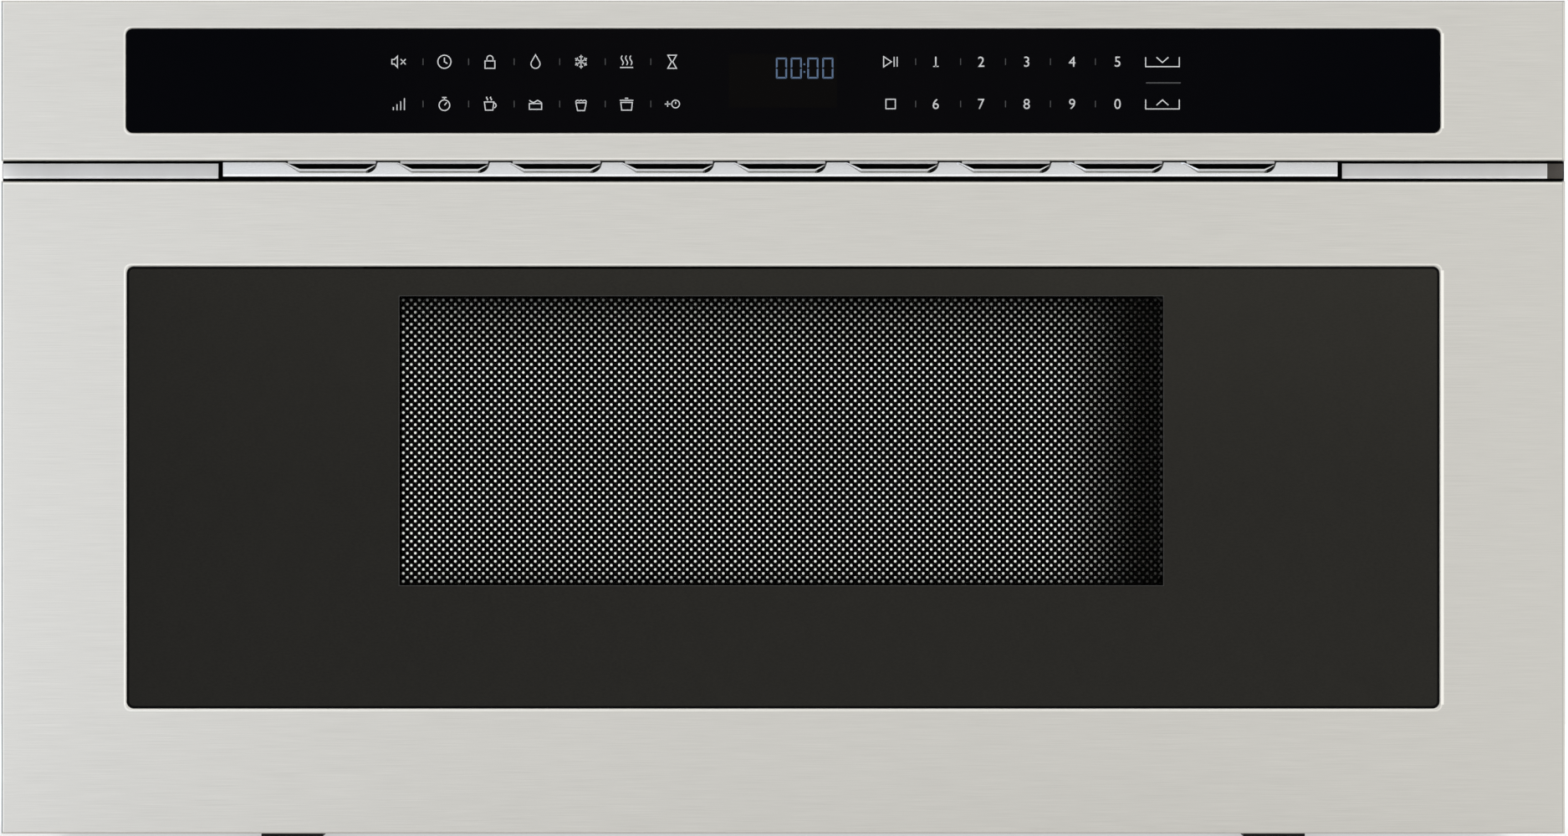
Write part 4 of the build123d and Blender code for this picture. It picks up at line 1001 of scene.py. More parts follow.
def arc(x, z, radius, start, end, steps=14):
    """Points along an arc, in degrees."""
    turns = [math.radians(start + (end - start) * i / steps) for i in range(steps + 1)]
    return [(x + radius * math.cos(t), z + radius * math.sin(t)) for t in turns]


def circle(x, z, radius, steps):
    """A closed stroke round a middle."""
    return arc(x, z, radius, 0, 360, steps)[:-1], True


def rounded(x0, x1, z0, z1, radius, steps=6):
    """The (x, z) points of a rectangle with round corners."""
    points = []
    right, left = x1 - radius, x0 + radius
    top, bottom = z1 - radius, z0 + radius
    for k, (x, z) in enumerate(((right, top), (left, top), (left, bottom), (right, bottom))):
        points += arc(x, z, radius, 90 * k, 90 * k + 90, steps)
    return points


def ribbon(shape, points, width, y0, y1, closed=False):
    """Adds a flat line of even width through (x, z) points, with mitred corners."""
    count = len(points)
    least = 0.35
    sides = []
    for i, (x, z) in enumerate(points):
        before = points[i - 1] if closed or i else None
        after = points[(i + 1) % count] if closed or i < count - 1 else None
        ways = []
        if before:
            ways.append(Vector((x - before[0], z - before[1])).normalized())
        if after:
            ways.append(Vector((after[0] - x, after[1] - z)).normalized())
        way = sum(ways, Vector((0.0, 0.0))).normalized()
        across = Vector((-way.y, way.x))
        reach = width / 2 / max(abs(across.dot(Vector((-ways[0].y, ways[0].x)))), least)
        sides.append(((x + across.x * reach, z + across.y * reach),
                      (x - across.x * reach, z - across.y * reach)))
    one = [a for a, b in sides]
    other = [b for a, b in sides]
    if closed:
        ring(shape, one, other, y0, y1)
    else:
        plate(shape, one + other[::-1], y0, y1)


def thicken(shape, depth):
    """Gives a flat sheet a back and side walls."""
    made = bmesh.ops.extrude_face_region(shape, geom=list(shape.faces))
    back = [v for v in made["geom"] if isinstance(v, bmesh.types.BMVert)]
    bmesh.ops.translate(shape, verts=back, vec=(0, depth, 0))


# ------------------------------------------------------------------ the window
def screen_cells():
    """How many holes a row has, and how many rows there are."""
    low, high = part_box("inner_pane")
    across = int((high.x - low.x - 2 * sizes().pane_margin) / sizes().hole_pitch)
    upright = int((high.z - low.z - 2 * sizes().pane_margin) / sizes().hole_row)
    return across, upright


def screen_field():
    """(x0, x1, z0, z1) of the holes: whole cells of the pattern, centred in the clear window."""
    low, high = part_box("mesh_plate")
    opening_low, opening_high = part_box("inner_pane")
    across, upright = screen_cells()
    middle_x = (low.x + high.x) / 2
    middle_z = (opening_low.z + opening_high.z) / 2
    half_x = (across + 0.5) * sizes().hole_pitch / 2
    half_z = (upright + 1) * sizes().hole_row / 2
    return middle_x - half_x, middle_x + half_x, middle_z - half_z, middle_z + half_z


def window_outline(gap=0.0):
    """The outline of the window's glass, smaller all round by a gap."""
    low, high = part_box("window_glass")
    return rounded(low.x + gap, high.x - gap, low.z + gap, high.z - gap, WINDOW_CORNER)


def clear_outline(margin):
    """The outline of the window's clear middle, wider all round by a margin."""
    x0, x1, z0, z1 = screen_field()
    return rounded(x0 - margin, x1 + margin, z0 - margin, z1 + margin, CLEAR_CORNER)


class DRAWER_OT_window(bpy.types.Operator):
    """The window: an opaque border round a clear middle, with the line where the print ends"""

    bl_idname = "drawer.window"
    bl_label = "Window"

    def execute(self, context):
        low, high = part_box("window_glass")
        gap = sizes().pane_gap
        line = sizes().frit_line
        ground = sizes().glass_ground
        border = bmesh.new()
        rings(border, (
            (window_outline(ground), low.y), (window_outline(), low.y + ground),
            (window_outline(), high.y), (clear_outline(line), high.y),
            (clear_outline(line), low.y),
        ))
        border = new_piece("window_border", border, "drawer", "dark_glass", "window_border")
        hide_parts("window_glass")
        edge = bmesh.new()
        ring(edge, clear_outline(line - gap), clear_outline(0.0), low.y + FRIT_STEP, high.y)
        new_piece("window_frit_line", edge, "drawer", "dark_glass", "frit_line")
        pane = bmesh.new()
        plate(pane, clear_outline(-gap), low.y, high.y)
        new_piece("window_pane", pane, "drawer", "dark_glass", "window_tint")
        paint("inner_pane")
        return {"FINISHED"}


def lattice_half(first, last, rows, left, bottom, name):
    """The screen's holes from one column to another: a flat sheet of cells, then given thickness."""
    pitch = sizes().hole_pitch
    row = sizes().hole_row
    radius = sizes().hole_diameter / 2
    low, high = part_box("mesh_plate")
    shape = bmesh.new()
    corners = {}

    def corner(i, j):
        """The vertex at a half pitch and row step of the pattern."""
        if (i, j) not in corners:
            corners[i, j] = shape.verts.new((left + i * pitch / 2, low.y, bottom + j * row))
        return corners[i, j]

    for j in range(rows):
        for i in range(first, last):
            centre = 2 * i + 1 + j % 2
            x = left + centre * pitch / 2
            z = bottom + (j + 1) * row
            hole = [
                shape.verts.new((a, low.y, b)) for a, b in arc(x, z, radius, 0, 360, 8)[:-1]
            ]
            tips = (corner(centre + 1, j + 1), corner(centre, j + 2),
                    corner(centre - 1, j + 1), corner(centre, j))
            for k in range(4):
                shape.faces.new((
                    tips[k], hole[2 * k], hole[2 * k + 1], hole[(2 * k + 2) % 8], tips[(k + 1) % 4]
                ))
    thicken(shape, high.y - low.y)
    return new_piece(name, shape, "drawer", "black_mesh", "black_mesh")


def lattice_edge(across, rows, left, bottom):
    """The zigzag outline of all the cells, as (x, z) points, counter-clockwise."""
    steps = [(2 * i + k, 1 - k) for i in range(across) for k in (0, 1)]
    steps.append((2 * across, 1))
    steps += [(2 * across + (j + 1) % 2, j + 1) for j in range(rows) if j]
    top_shift = (rows - 1) % 2
    top = [(2 * i + top_shift + k, rows + k) for i in range(across) for k in (0, 1)]
    steps += reversed(top)
    steps += [(j % 2, j + 1) for j in range(rows - 2, 0, -1)]
    half = sizes().hole_pitch / 2
    return [(left + i * half, bottom + j * sizes().hole_row) for i, j in steps]


class DRAWER_OT_screen(bpy.types.Operator):
    """The perforated screen with its round holes, and a glowing film behind them, painted light that
    stands in for the lit cavity seen through them
    """

    bl_idname = "drawer.screen"
    bl_label = "Perforated screen"

    def execute(self, context):
        across, rows = screen_cells()
        x0, x1, z0, z1 = screen_field()
        low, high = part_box("mesh_plate")
        middle = across // 2
        left = lattice_half(0, middle, rows, x0, z0, "screen_left")
        lattice_half(middle, across, rows, x0, z0, "screen_right")
        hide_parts("mesh_plate")
        rim = bmesh.new()
        for outline in (
            lattice_edge(across, rows, x0, z0),
            ((low.x, low.z), (high.x, low.z), (high.x, high.z), (low.x, high.z)),
        ):
            verts = [rim.verts.new((x, low.y, z)) for x, z in outline]
            for a, b in zip(verts, verts[1:] + verts[:1]):
                rim.edges.new((a, b))
        bmesh.ops.triangle_fill(rim, use_beauty=True, use_dissolve=False, edges=list(rim.edges))
        thicken(rim, high.y - low.y)
        new_piece("screen_rim", rim, "drawer", "black_mesh", "black_mesh")
        # a glowing film of painted light behind the holes; its back shows the holes as dots
        film = bmesh.new()
        slab(film, x0, x1, high.y + LIGHT_GAP, high.y + 2 * LIGHT_GAP, z0, z1)
        film = new_piece("screen_painted_glow", film, "drawer", "black_mesh", "painted_cavity_glow", "screen_back")
        for face in film.data.polygons:
            face.material_index = 0 if face.normal.y < -0.5 else 1
        return {"FINISHED"}


# ------------------------------------------------------------------ fronts
class DRAWER_OT_fronts(bpy.types.Operator):
    """The brushed steel drawer front and fascia"""

    bl_idname = "drawer.fronts"
    bl_label = "Steel fronts"

    def execute(self, context):
        paint("drawer_skin", "control_fascia")
        return {"FINISHED"}


class DRAWER_OT_control_glass(bpy.types.Operator):
    """The black glass, its display and what lies behind it"""

    bl_idname = "drawer.control_glass"
    bl_label = "Control glass"

    def execute(self, context):
        paint("control_glass", "control_housing", "control_board", "display_module")
        return {"FINISHED"}


# ------------------------------------------------------------------ signs and figures
def snowflake():
    """Six arms with their twigs."""
    lines = []
    for k in range(3):
        turn = math.radians(90 + 60 * k)
        way = Vector((math.cos(turn), math.sin(turn)))
        lines.append(line(tuple(-3.3 * way), tuple(3.3 * way)))
        for end in (-1, 1):
            for lean in (-1, 1):
                twig = Matrix.Rotation(math.radians(50 * lean), 2) @ way
                start = 1.9 * end * way
                lines.append(line(tuple(start), tuple(start + 1.1 * end * twig)))
    return lines


def line(*points):
    """An open stroke."""
    return list(points), False


def loop(*points):
    """A closed stroke."""
    return list(points), True


def bow(*place):
    """An open stroke along an arc."""
    return arc(*place), False


def wave_line(x, z, height, swing):
    """An upright wavy stroke."""
    steps = 12
    return line(*(
        (x + swing * math.sin(2 * math.pi * i / steps), z + height * i / steps)
        for i in range(steps + 1)
    ))


def signs():
    """The function keys' signs, row by row: (points in millimetres, closed) strokes."""
    speaker = loop((-3.4, -1.1), (-2.2, -1.1), (-0.7, -2.7), (-0.7, 2.7), (-2.2, 1.1), (-3.4, 1.1))
    shackle = line((1.5, 0.4), (1.5, 1.5), *arc(0, 1.5, 1.5, 0, 180)[1:], (-1.5, 0.4))
    padlock = loop((-2.4, -3.2), (2.4, -3.2), (2.4, 0.4), (-2.4, 0.4))
    hourglass = loop(
        (-2.1, 3.2), (2.1, 3.2), (0.3, 0), (2.1, -3.2), (-2.1, -3.2), (-0.3, 0)
    )
    top_row = [
        [speaker, line((0.9, -1.3), (3.3, 1.3)), line((0.9, 1.3), (3.3, -1.3))],
        [circle(0, 0, 3.2, 28), line((0, 2.0), (0, 0), (1.5, -0.9))],
        [padlock, shackle],
        [loop((0, 3.4), *arc(0, -1.0, 2.2, 28, -208, 20))],
        snowflake(),
        [line((-3.2, -2.8), (3.2, -2.8)), *(wave_line(x, -1.6, 4.6, 0.5) for x in (-2.1, 0, 2.1))],
        [hourglass],
    ]
    cup = loop((-2.7, 1.0), (1.9, 1.0), (1.4, -3.0), (-2.2, -3.0))
    block = loop((-3.0, -2.6), (3.0, -2.6), (3.0, 0.2), (-3.0, 0.2))
    melting = line(*((x, 1.2 + 0.6 * math.sin(1.5 * x)) for x in range(-3, 4)))
    bucket = loop((-2.5, 0.6), (2.5, 0.6), (1.7, -3.2), (-1.7, -3.2))
    pot = loop((-2.8, 0.8), (2.8, 0.8), (2.4, -3.0), (-2.4, -3.0))
    bars = ((-2.7, 1.5), (-0.9, 2.9), (0.9, 4.3), (2.7, 5.8))
    bottom_row = [
        [line((x, -3), (x, -3 + height)) for x, height in bars],
        [circle(0, -0.6, 2.6, 24), line((0, -0.6), (1.2, 0.8)), line((0, 2.0), (0, 3.2)),
         line((-1.1, 3.2), (1.1, 3.2))],
        [cup, bow(1.8, -0.7, 1.2, -75, 75, 8), wave_line(-1.4, 1.8, 1.7, 0.3),
         wave_line(0.5, 1.8, 1.7, 0.3)],
        [block, melting],
        [bucket, *(bow(x, 1.0, 0.85, 0, 180, 8) for x in (-1.7, 0, 1.7))],
        [pot, line((-3.3, 1.8), (3.3, 1.8)), line((-0.8, 2.8), (0.8, 2.8))],
        [line((-3.6, 0), (-0.8, 0)), line((-2.2, -1.4), (-2.2, 1.4)), circle(1.7, 0, 1.9, 20),
         line((1.7, 1.1), (1.7, 0))],
    ]
    return top_row, bottom_row


def key_rows():
    """The heights of the two rows of keys."""
    low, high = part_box("control_glass")
    middle = (low.z + high.z) / 2 - KEYS_DOWN
    return middle + sizes().key_rows / 2, middle - sizes().key_rows / 2


def print_depth():
    """From the face of the print back to the glass that it is on."""
    glass_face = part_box("control_glass")[0].y
    return glass_face - sizes().mark_rise, glass_face


class DRAWER_OT_key_signs(bpy.types.Operator):
    """The signs of the function keys, the start, stop, open and close keys, and the lines between"""

    bl_idname = "drawer.key_signs"
    bl_label = "Key signs"

    def execute(self, context):
        rows = key_rows()
        shape = bmesh.new()
        faint = bmesh.new()

        def draw(strokes, x, z):
            """Draws one key's sign round a place."""
            for points, closed in strokes:
                spots = [(x + a * MM, z + b * MM) for a, b in points]
                ribbon(shape, spots, sizes().mark_stroke, *print_depth(), closed)

        def draw_lines(first, pitch, count, z):
            """Draws the short upright lines between the keys of a row."""
            for x in (first + i * pitch for i in range(count)):
                ends = [(x, z - LINE_REACH), (x, z + LINE_REACH)]
                ribbon(faint, ends, LINE_STROKE, *print_depth())

        for z, row in zip(rows, signs()):
            for i, strokes in enumerate(row):
                draw(strokes, FIRST_SIGN + i * sizes().key_pitch, z)
            draw_lines(FIRST_SIGN_LINE, sizes().key_pitch, len(row) - 1, z)
        for z in rows:
            draw_lines(FIRST_FIGURE_LINE, FIGURE_LINE_PITCH, 5, z)
        start = [loop((-3.4, -2.5), (-3.4, 2.5), (0.4, 0)), line((1.7, -2.4), (1.7, 2.4)),
                 line((3.2, -2.4), (3.2, 2.4))]
        stop = [loop((-2.3, -2.3), (2.3, -2.3), (2.3, 2.3), (-2.3, 2.3))]
        bin_sign = line((-8.2, 2.2), (-8.2, -2.4), (8.2, -2.4), (8.2, 2.2))
        down = line((-2.9, 2.2), (0, -0.4), (2.9, 2.2))
        up = line((-2.9, -0.6), (0, 2.0), (2.9, -0.6))
        draw(start, START_KEY, rows[0])
        draw(stop, START_KEY, rows[1])
        draw([bin_sign, down], OPEN_KEY, rows[0])
        draw([bin_sign, up], OPEN_KEY, rows[1])
        ribbon(faint, [(x, sum(rows) / 2) for x in OPEN_KEY_RULE], RULE_STROKE, *print_depth())
        new_piece("key_signs", shape, "chassis", "black_glass", "key_print")
        new_piece("key_lines", faint, "chassis", "black_glass", "faint_print")
        return {"FINISHED"}


def figure_mesh(text, height, y0, y1):
    """One plain figure as a bmesh, centred on the origin of X and Z."""
    curve = bpy.data.curves.new("figure", "FONT")
    curve.body = text
    curve.size = height / CAPITAL_SHARE
    curve.offset = 0.0005 * curve.size
    curve.resolution_u = 3
    holder = new_object("figure", curve)
    bpy.context.view_layer.update()
    flat = bpy.data.meshes.new_from_object(holder)
    bpy.data.objects.remove(holder)
    shape = bmesh.new()
    shape.from_mesh(flat)
    bpy.data.meshes.remove(flat)
    bmesh.ops.remove_doubles(shape, verts=shape.verts, dist=1e-6)
    xs = [v.co.x for v in shape.verts]
    ys = [v.co.y for v in shape.verts]
    move = Vector(((min(xs) + max(xs)) / 2, (min(ys) + max(ys)) / 2))
    for v in shape.verts:
        v.co = (v.co.x - move.x, y0, v.co.y - move.y)
    thicken(shape, y1 - y0)
    return shape


class DRAWER_OT_key_figures(bpy.types.Operator):
    """The numbers on the number keys"""

    bl_idname = "drawer.key_figures"
    bl_label = "Key figures"

    def execute(self, context):
        depth = print_depth()
        whole = bmesh.new()
        for z, row in zip(key_rows(), ("12345", "67890")):
            for i, text in enumerate(row):
                one = figure_mesh(text, sizes().figure_height, *depth)
                if text == "1":
                    foot = -sizes().figure_height / 2
                    slab(one, *ONE_FOOT, *depth, foot, foot + sizes().mark_stroke)
                place = (FIRST_FIGURE + i * sizes().figure_pitch, 0, z)
                bmesh.ops.translate(one, verts=one.verts, vec=place)
                mesh = new_mesh("one", one)
                whole.from_mesh(mesh)
                bpy.data.meshes.remove(mesh)
        new_piece("key_figures", whole, "chassis", "black_glass", "key_print")
        return {"FINISHED"}


class DRAWER_OT_clock(bpy.types.Operator):
    """The clock's lit bars, standing at zero"""

    bl_idname = "drawer.clock"
    bl_label = "Clock"

    def execute(self, context):
        depth = print_depth()
        shape = bmesh.new()
        tall = sizes().clock_height
        bar = sizes().clock_stroke
        gap = CLOCK_GAP
        bottom, middle, top = (CLOCK_FOOT + share * tall for share in (0, 0.5, 1))
        for left in CLOCK_FIGURES:
            right = left + sizes().clock_width
            for z, inward in ((bottom, bar), (top, -bar)):
                outline = [(left + gap, z), (right - gap, z), (right - bar - gap, z + inward),
                           (left + bar + gap, z + inward)]
                plate(shape, outline, *depth)
            for x, inward in ((left, bar), (right, -bar)):
                for end, way in ((bottom, 1), (top, -1)):
                    outer, inner = end + way * gap, middle - way * gap
                    outline = [(x, outer), (x, inner), (x + inward, inner - way * bar / 2),
                               (x + inward, outer + way * bar)]
                    plate(shape, outline, *depth)
        half = bar / 2
        left, right = CLOCK_COLON - half, CLOCK_COLON + half
        for z in (bottom + level * tall for level in COLON_LEVELS):
            plate(shape, rounded(left, right, z - half, z + half, 0.2 * bar, 2), *depth)
        new_piece("clock_bars", shape, "chassis", "black_glass", "clock_light")
        return {"FINISHED"}


# ------------------------------------------------------------------ air slot
def louvre_section(at):
    """(height of the lip, height of the crease, reach, share of the tongue that its bend takes)
    at a distance from a louvre's left end."""
    part = sizes()
    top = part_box("vent_grille")[1].z
    lip = top - part.louvre_mouth
    foot = lip - part.louvre_tongue
    ramp = min(max(at - part.louvre_corner, 0.0) / (part.louvre_ramp - part.louvre_corner), 1.0)
    end = part.louvre_width - part.louvre_return
    turn = min(max(at - end, 0.0) / part.louvre_return, 1.0)
    lip_z = top - part.louvre_mouth * min(ramp, 1 - 0.8 * turn)
    if ramp < 1.0:
        tongue = part.louvre_tongue * (0.4 + 0.6 * ramp)
        return lip_z, lip_z - tongue, min(at / part.louvre_ramp, 1.0), 0.3
    rise = 1 - math.sqrt(1 - turn * turn)
    foot_z = min(foot + (top - foot) * rise, lip_z)
    reach = math.sqrt(max((lip_z - foot_z) / part.louvre_tongue, 0.0))
    return lip_z, foot_z, min(reach, 1.0), 0.34 + 0.35 * math.sqrt(turn)


class DRAWER_OT_louvred_strip(bpy.types.Operator):
    """The strip with its nine pressed louvres: sloping at the left end and rounded at the right"""

    bl_idname = "drawer.louvred_strip"
    bl_label = "Louvred strip"

    def execute(self, context):
        part = sizes()
        low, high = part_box("vent_grille")
        face = low.y + part.louvre_reach
        bottom = low.z + part.strip_lift
        plain = (high.z, (bottom + high.z) / 2, 0.0, 0.22)
        corner, width = part.louvre_corner, part.louvre_width
        slope = part.louvre_ramp - corner
        end = width - part.louvre_return
        samples = [0.0, corner, *(corner + slope * i / 4 for i in (1, 2, 3, 4))]
        samples += [end + part.louvre_return * math.sin(math.pi / 20 * i) for i in range(11)]
        hood = bmesh.new()
        columns = [(low.x, *plain)]
        for i in range(part.louvre_count):
            centre = (low.x + high.x) / 2 + (i - (part.louvre_count - 1) / 2) * part.louvre_pitch
            start = centre - width / 2 - part.louvre_shift
            columns += [(start + at, *louvre_section(at)) for at in samples]
            columns.append((start + width + LOUVRE_STEP, *plain))
            slab(
                hood, start + 2 * corner, start + width - HOOD_MARGIN, face + HOOD_STEP,
                face + HOOD_STEP + HOOD_MARGIN, high.z - part.hood_height, high.z + HOOD_TUCK,
            )
        columns.append((high.x, *plain))
        shape = bmesh.new()
        grid = []
        for x, lip, foot, reach, bend in columns:
            depth = reach * part.louvre_reach
            tongue = lip - foot
            section = [(high.y, bottom), (face, bottom), (face, (bottom + foot) / 2), (face, foot),
                       (face - 0.8 * depth, foot + bend * tongue),
                       (face - depth, foot + (bend + 0.18) * tongue),
                       (face - depth, lip - 0.1 * tongue), (face - 0.96 * depth, lip)]
            grid.append([shape.verts.new((x, y, z)) for y, z in section])
        for a, b in zip(grid, grid[1:]):
            for k in range(len(a) - 1):
                shape.faces.new((a[k], b[k], b[k + 1], a[k + 1]))
        bmesh.ops.remove_doubles(shape, verts=shape.verts, dist=1e-6)
        bmesh.ops.dissolve_degenerate(shape, edges=shape.edges, dist=1e-7)
        strip = new_piece(
            "louvred_strip", shape, "chassis", "bright_steel", "bright_steel", closed=False
        )
        sheet = strip.modifiers.new("Sheet", "SOLIDIFY")
        sheet.thickness = part.strip_sheet
        sheet.offset = -1.0
        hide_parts("vent_grille")
        new_piece("louvre_hoods", hood, "chassis", "bright_steel", "satin_steel")
        # a black sheet behind the louvres: painted shade for the dark inside of the slot
        painted_shade_sheet = bmesh.new()
        slab(painted_shade_sheet, low.x, high.x, high.y - SHADE_SHEET_THICKNESS, high.y, low.z, high.z)
        new_piece("louvre_painted_shade_sheet", painted_shade_sheet, "chassis", "black_paint", "black_paint")
        return {"FINISHED"}


class DRAWER_OT_slot_strips(bpy.types.Operator):
    """The plain strips beside the louvres, the dark stop at the right end, and black films of painted
    shade at the slot's ends
    """

    bl_idname = "drawer.slot_strips"
    bl_label = "Slot strips"

    def execute(self, context):
        paint("slot_trims", "slot_end_block")
        fascia_low, fascia_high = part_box("control_fascia")
        low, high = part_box("slot_end_block")
        # black films of painted shade: on the stop's right end, and at the slot's left end behind the
        # cap
        film = bmesh.new()
        slab(film, high.x, fascia_high.x, low.y, high.y, low.z - END_REACH, high.z + END_REACH)
        low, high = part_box("slot_trims")
        back = high.y - END_SHEET
        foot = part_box("drawer_skin")[1].z + DRAWER_PLAY
        slab(film, fascia_low.x, low.x, back, high.y, foot, fascia_low.z)
        new_piece("slot_end_painted_shade_film", film, "chassis", "brown_plastic", "black_paint")
        # the cap takes the darker ball steel as painted shade on the trims' left end
        cap = bmesh.new()
        slab(cap, fascia_low.x, low.x, low.y, back, low.z, high.z)
        new_piece("slot_trim_cap", cap, "chassis", "satin_steel", "ball_steel")
        return {"FINISHED"}


# ------------------------------------------------------------------ the drawer behind its front
class DRAWER_OT_bin(bpy.types.Operator):
    """The enamelled food bin with its glass ceramic floor"""

    bl_idname = "drawer.bin"
    bl_label = "Food bin"

    def execute(self, context):
        paint("bin_walls", "bin_floor")
        return {"FINISHED"}


class DRAWER_OT_drawer_back(bpy.types.Operator):
    """The frame, liner, seal, hooks and arms behind the steel front"""

    bl_idname = "drawer.drawer_back"
    bl_label = "Drawer back"

    def execute(self, context):
        paint("door_core", "door_liner", "choke_cover", "latch_hooks", "drawer_arms")
        return {"FINISHED"}


class DRAWER_OT_slides(bpy.types.Operator):
    """The ball slides and the beams that carry them"""

    bl_idname = "drawer.slides"
    bl_label = "Slides"

    def execute(self, context):
        paint("slide_outers", "slide_middles", "slide_inners", "outer_cages", "inner_cages",
              "rail_beams")
        return {"FINISHED"}


class DRAWER_OT_drive(bpy.types.Operator):
    """The gear motor, pinion, rack and guide"""

    bl_idname = "drawer.drive"
    bl_label = "Drive"

    def execute(self, context):
        paint("drive_motor", "drive_pinion", "drive_rack", "rack_guide")
        return {"FINISHED"}


# ------------------------------------------------------------------ chassis
class DRAWER_OT_chassis(bpy.types.Operator):
    """The zinc-coated sheets of the chassis, its runners and its cord gland"""

    bl_idname = "drawer.chassis"
    bl_label = "Chassis"

    def execute(self, context):
        paint("base_pan", "base_runners", "side_panel_left", "side_panel_right", "top_cover",
              "rear_panel", "front_plate", "side_flanges", "top_flange", "cord_gland")
        return {"FINISHED"}


def screw_head(radius, rise, recess):
    """One pan head on the XY plane, domed, with a cross recess."""
    head = bmesh.new()
    profile = [(0.45, 0.97), (0.75, 0.82), (0.93, 0.55), (1.0, 0.25), (1.0, 0.0)]
    steps = 28
    circles = [
        [head.verts.new((x, y, level * rise))
         for x, y in arc(0, 0, share * radius, 0, 360, steps)[:-1]]
        for share, level in profile
    ]
    for a, b in zip(circles, circles[1:]):
        for k in range(steps):
            head.faces.new((a[k], b[k], b[(k + 1) % steps], a[(k + 1) % steps]))
    head.faces.new(circles[0])
    head.faces.new(reversed(circles[-1]))
    turn_outward(head)
    cutter = bmesh.new()
    half = recess / 2
    arm = recess / 7
    for x, y in ((half, arm), (arm, half)):
        slab(cutter, -x, x, -y, y, 0.35 * rise, 1.5 * rise)
    turn_outward(cutter)
    holders = [new_object(name, new_mesh(name, shape))
               for name, shape in (("head", head), ("cutter", cutter))]
    cut = holders[0].modifiers.new("Cross", "BOOLEAN")
    cut.object = holders[1]
    cut.operation = "DIFFERENCE"
    cut.solver = "EXACT"
    cut.use_self = True
    bpy.context.view_layer.update()
    seen = holders[0].evaluated_get(bpy.context.evaluated_depsgraph_get())
    made = bpy.data.meshes.new_from_object(seen)
    for holder in holders:
        bpy.data.objects.remove(holder)
    return made


def loose_parts(mesh):
    """The lowest and highest corners of each separate solid in a mesh."""
    shape = bmesh.new()
    shape.from_mesh(mesh)
    bmesh.ops.remove_doubles(shape, verts=shape.verts, dist=1e-6)
    boxes = []
    left = set(shape.verts)
    for seed in shape.verts:
        if seed not in left:
            continue
        left.remove(seed)
        island = [seed]
        for v in island:
            near = {edge.other_vert(v) for edge in v.link_edges} & left
            left -= near
            island += near
        spots = [v.co for v in island]
        boxes.append([
            Vector([pick(spot[k] for spot in spots) for k in range(3)]) for pick in (min, max)
        ])
    shape.free()
    return boxes


class DRAWER_OT_case_screws(bpy.types.Operator):
    """The pan-head screws of the top cover and the rear panel, with their cross recesses"""

    bl_idname = "drawer.case_screws"
    bl_label = "Case screws"

    def execute(self, context):
        whole = bmesh.new()
        head = None
        for n, (low, high) in enumerate(loose_parts(frame["nodes"]["case_screws"].data)):
            size = high - low
            if head is None:
                head = screw_head(size.x / 2, min(size), sizes().recess)
            middle = (low + high) / 2
            turn = Matrix.Rotation(math.radians(37 * n), 4, "Z")
            if size.z < size.x - 1e-4 and size.z < size.y:
                place = Matrix.Translation((middle.x, middle.y, low.z)) @ turn
            else:
                tip = Matrix.Rotation(math.radians(-90), 4, "X")
                place = Matrix.Translation((middle.x, low.y, middle.z)) @ tip @ turn
            copy = head.copy()
            copy.transform(place)
            whole.from_mesh(copy)
            bpy.data.meshes.remove(copy)
        screws = new_piece(
            "screw_heads", whole, "chassis", "screw_steel", "screw_steel", closed=False
        )
        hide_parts("case_screws")
        return {"FINISHED"}


class DRAWER_OT_cavity(bpy.types.Operator):
    """The cavity's enamelled sheets, its ducts, its lamp and its cut-outs"""

    bl_idname = "drawer.cavity"
    bl_label = "Cavity"

    def execute(self, context):
        paint("cavity_wrapper", "cavity_floor", "cavity_rear", "stirrer_cover", "exhaust_duct",
              "lamp_holder", "lamp_bulb", "thermal_cutouts")
        return {"FINISHED"}


class DRAWER_OT_works(bpy.types.Operator):
    """The magnetron, waveguide, stirrer, transformer and capacitor"""

    bl_idname = "drawer.works"
    bl_label = "Microwave works"

    def execute(self, context):
        paint("waveguide", "magnetron", "stirrer_motor", "stirrer_blade", "transformer_core",
              "transformer_coils", "capacitor")
        return {"FINISHED"}


class DRAWER_OT_cooling(bpy.types.Operator):
    """The cooling fan: housing, motor and wheel"""

    bl_idname = "drawer.cooling"
    bl_label = "Cooling fan"

    def execute(self, context):
        paint("fan_housing", "fan_motor", "fan_impeller")
        return {"FINISHED"}


class DRAWER_OT_electrics(bpy.types.Operator):
    """The mains filter board and the door switches"""

    bl_idname = "drawer.electrics"
    bl_label = "Electrics"

    def execute(self, context):
        paint("filter_board", "interlock_switches")
        return {"FINISHED"}


# ------------------------------------------------------------------ stage
def seen_rays(tree):
    """1 for the camera's rays and for those that mirrors and glass pass on."""
    path = add(tree, "ShaderNodeLightPath").outputs
    seen = calculate(tree, "ADD", path["Is Camera Ray"], path["Is Glossy Ray"])
    return calculate(tree, "ADD", seen, path["Is Transmission Ray"], clamp=True)


@material(Base_Color=(0.55, 0.55, 0.55), Roughness=0.7, Specular_IOR_Level=0.1,
          Emission_Color=(1.0, 1.0, 1.0))
def floor(tree, shader):
    """The white floor, which keeps a soft shadow; far off, where the lamps fade, it glows more."""
    away = vector_maths(tree, "LENGTH", object_place(tree), output="Value")
    level = spread(tree, away, 0.50, 0.76, 1.2, 4.5)
    feed(tree, shader, Emission_Strength=both(tree, seen_rays(tree), level))


